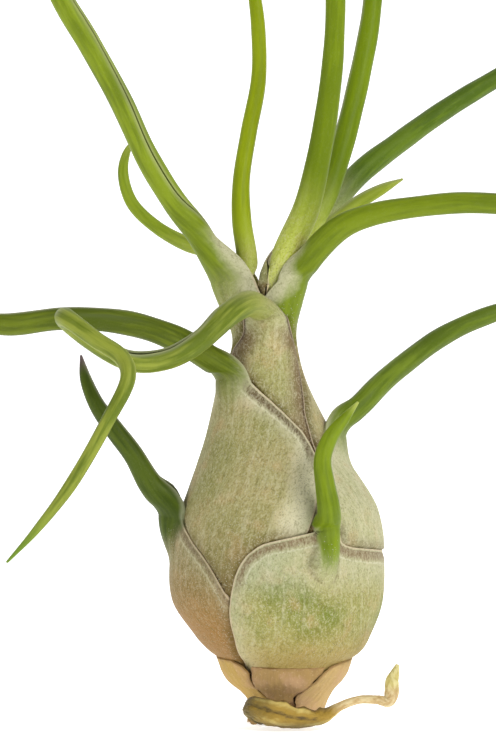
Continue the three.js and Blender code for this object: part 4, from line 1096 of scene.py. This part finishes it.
def wavering_tone():
    """A colour that wavers softly between two, by noise of the scale given."""
    group, given, out = new_group("wavering_tone", {
        "Scale": 500.0, "From": 0.35, "To": 0.65, "Pale": (206, 200, 164), "Paler": (226, 222, 196)},
        outputs=("Color",))
    place = add(group, "ShaderNodeTexCoord").outputs["Object"]
    waver = rise(group, noise(group, place, given["Scale"], 2, 0.5), given["From"], given["To"])
    group.links.new(blend(group, waver, given["Pale"], given["Paler"]), out["Color"])
    return group


wavering = wavering_tone()
scale_silver = group_finish("scale_silver", wavering, {}, Roughness=0.7, Specular_IOR_Level=0.2, Alpha=0.55)
grower_tree = scale_grower()
for number, leaf in enumerate(("leaf_low_right", "leaf_low_left", "leaf_mid_left", "leaf_mid_right",
                               "leaf_front", "leaf_upper_left", "leaf_upper_right", "leaf_back_right")):
    scatter_scales(leaf, grower_tree, scale_silver, 30 + number)

# ----------------------------------------------------------------------------------------
# Studio. A white paper floor that curves up into a white wall, and soft light from all
# round, with a large soft lamp at the upper right and a weak one at the left. The camera
# is level, and looks at the plant from the photograph's side.
# ----------------------------------------------------------------------------------------
PAPER_GLOW = 0.66
ROOM_LIGHT = 0.42
PLANT_MIDDLE = Vector((0, 0, 0.06))
VIEW_MIDDLE = Vector((-0.007, 0.0, 0.0619))  # what the middle of the photograph looks at
VIEW_DISTANCE = 0.480
VIEW_HEIGHT = 737 * 0.175 * MM  # height that the photograph takes in there, at 0.175 mm a pixel


def studio_sweep():
    """Floor and wall in one sheet, in metres."""
    bend = np.linspace(0.08, math.pi / 2, 14)
    profile = [(-1.2, 0.0), (0.9, 0.0)]
    profile += [(0.9 + 0.5 * math.sin(a), 0.5 - 0.5 * math.cos(a)) for a in bend]
    profile.append((1.4, 2.2))
    mesh = bpy.data.meshes.new("studio_sweep")
    corners = [(x, y, z) for y, z in profile for x in (-2.0, 2.0)]
    faces = [(2 * i, 2 * i + 1, 2 * i + 3, 2 * i + 2) for i in range(len(profile) - 1)]
    mesh.from_pydata(corners, [], faces)
    mesh.shade_smooth()
    return mesh


sweep = bpy.data.objects.new("studio_sweep", studio_sweep())
sweep.data.materials.append(group_finish(
    "white_studio_paper", wavering,
    {"Scale": 900, "From": 0.3, "To": 0.7, "Pale": (0.90, 0.90, 0.90, 1), "Paler": (0.93, 0.93, 0.93, 1)},
    Roughness=0.9, Emission_Color=(1, 1, 1, 1), Emission_Strength=PAPER_GLOW))
bpy.context.scene.collection.objects.link(sweep)


def soft_lamp(name, place, width, watts):
    """A square lamp that shines on the plant."""
    lamp = bpy.data.lights.new(name, "AREA")
    lamp.size = width
    lamp.energy = watts
    holder = bpy.data.objects.new(name, lamp)
    holder.location = place
    holder.rotation_euler = (PLANT_MIDDLE - Vector(place)).to_track_quat("-Z", "Y").to_euler()
    bpy.context.scene.collection.objects.link(holder)


world = bpy.data.worlds.new("soft_room")
world.use_nodes = True
world.node_tree.nodes["Background"].inputs["Color"].default_value = (1, 1, 1, 1)
world.node_tree.nodes["Background"].inputs["Strength"].default_value = ROOM_LIGHT
bpy.context.scene.world = world
soft_lamp("lamp_upper_right", (0.50, -0.62, 0.62), width=0.4, watts=4.8)
soft_lamp("lamp_left", (-0.75, -0.45, 0.30), width=0.5, watts=0.9)
bpy.context.scene.view_settings.view_transform = "Standard"

camera = bpy.data.cameras.new("camera")
camera.sensor_fit = "VERTICAL"
camera.sensor_height = 24
camera.lens = 24 * VIEW_DISTANCE / VIEW_HEIGHT
camera.clip_start = 0.01
holder = bpy.data.objects.new("camera", camera)
holder.location = VIEW_MIDDLE + Vector((0, -VIEW_DISTANCE, 0))
holder.rotation_euler = (math.pi / 2, 0, 0)
bpy.context.scene.collection.objects.link(holder)
bpy.context.scene.camera = holder
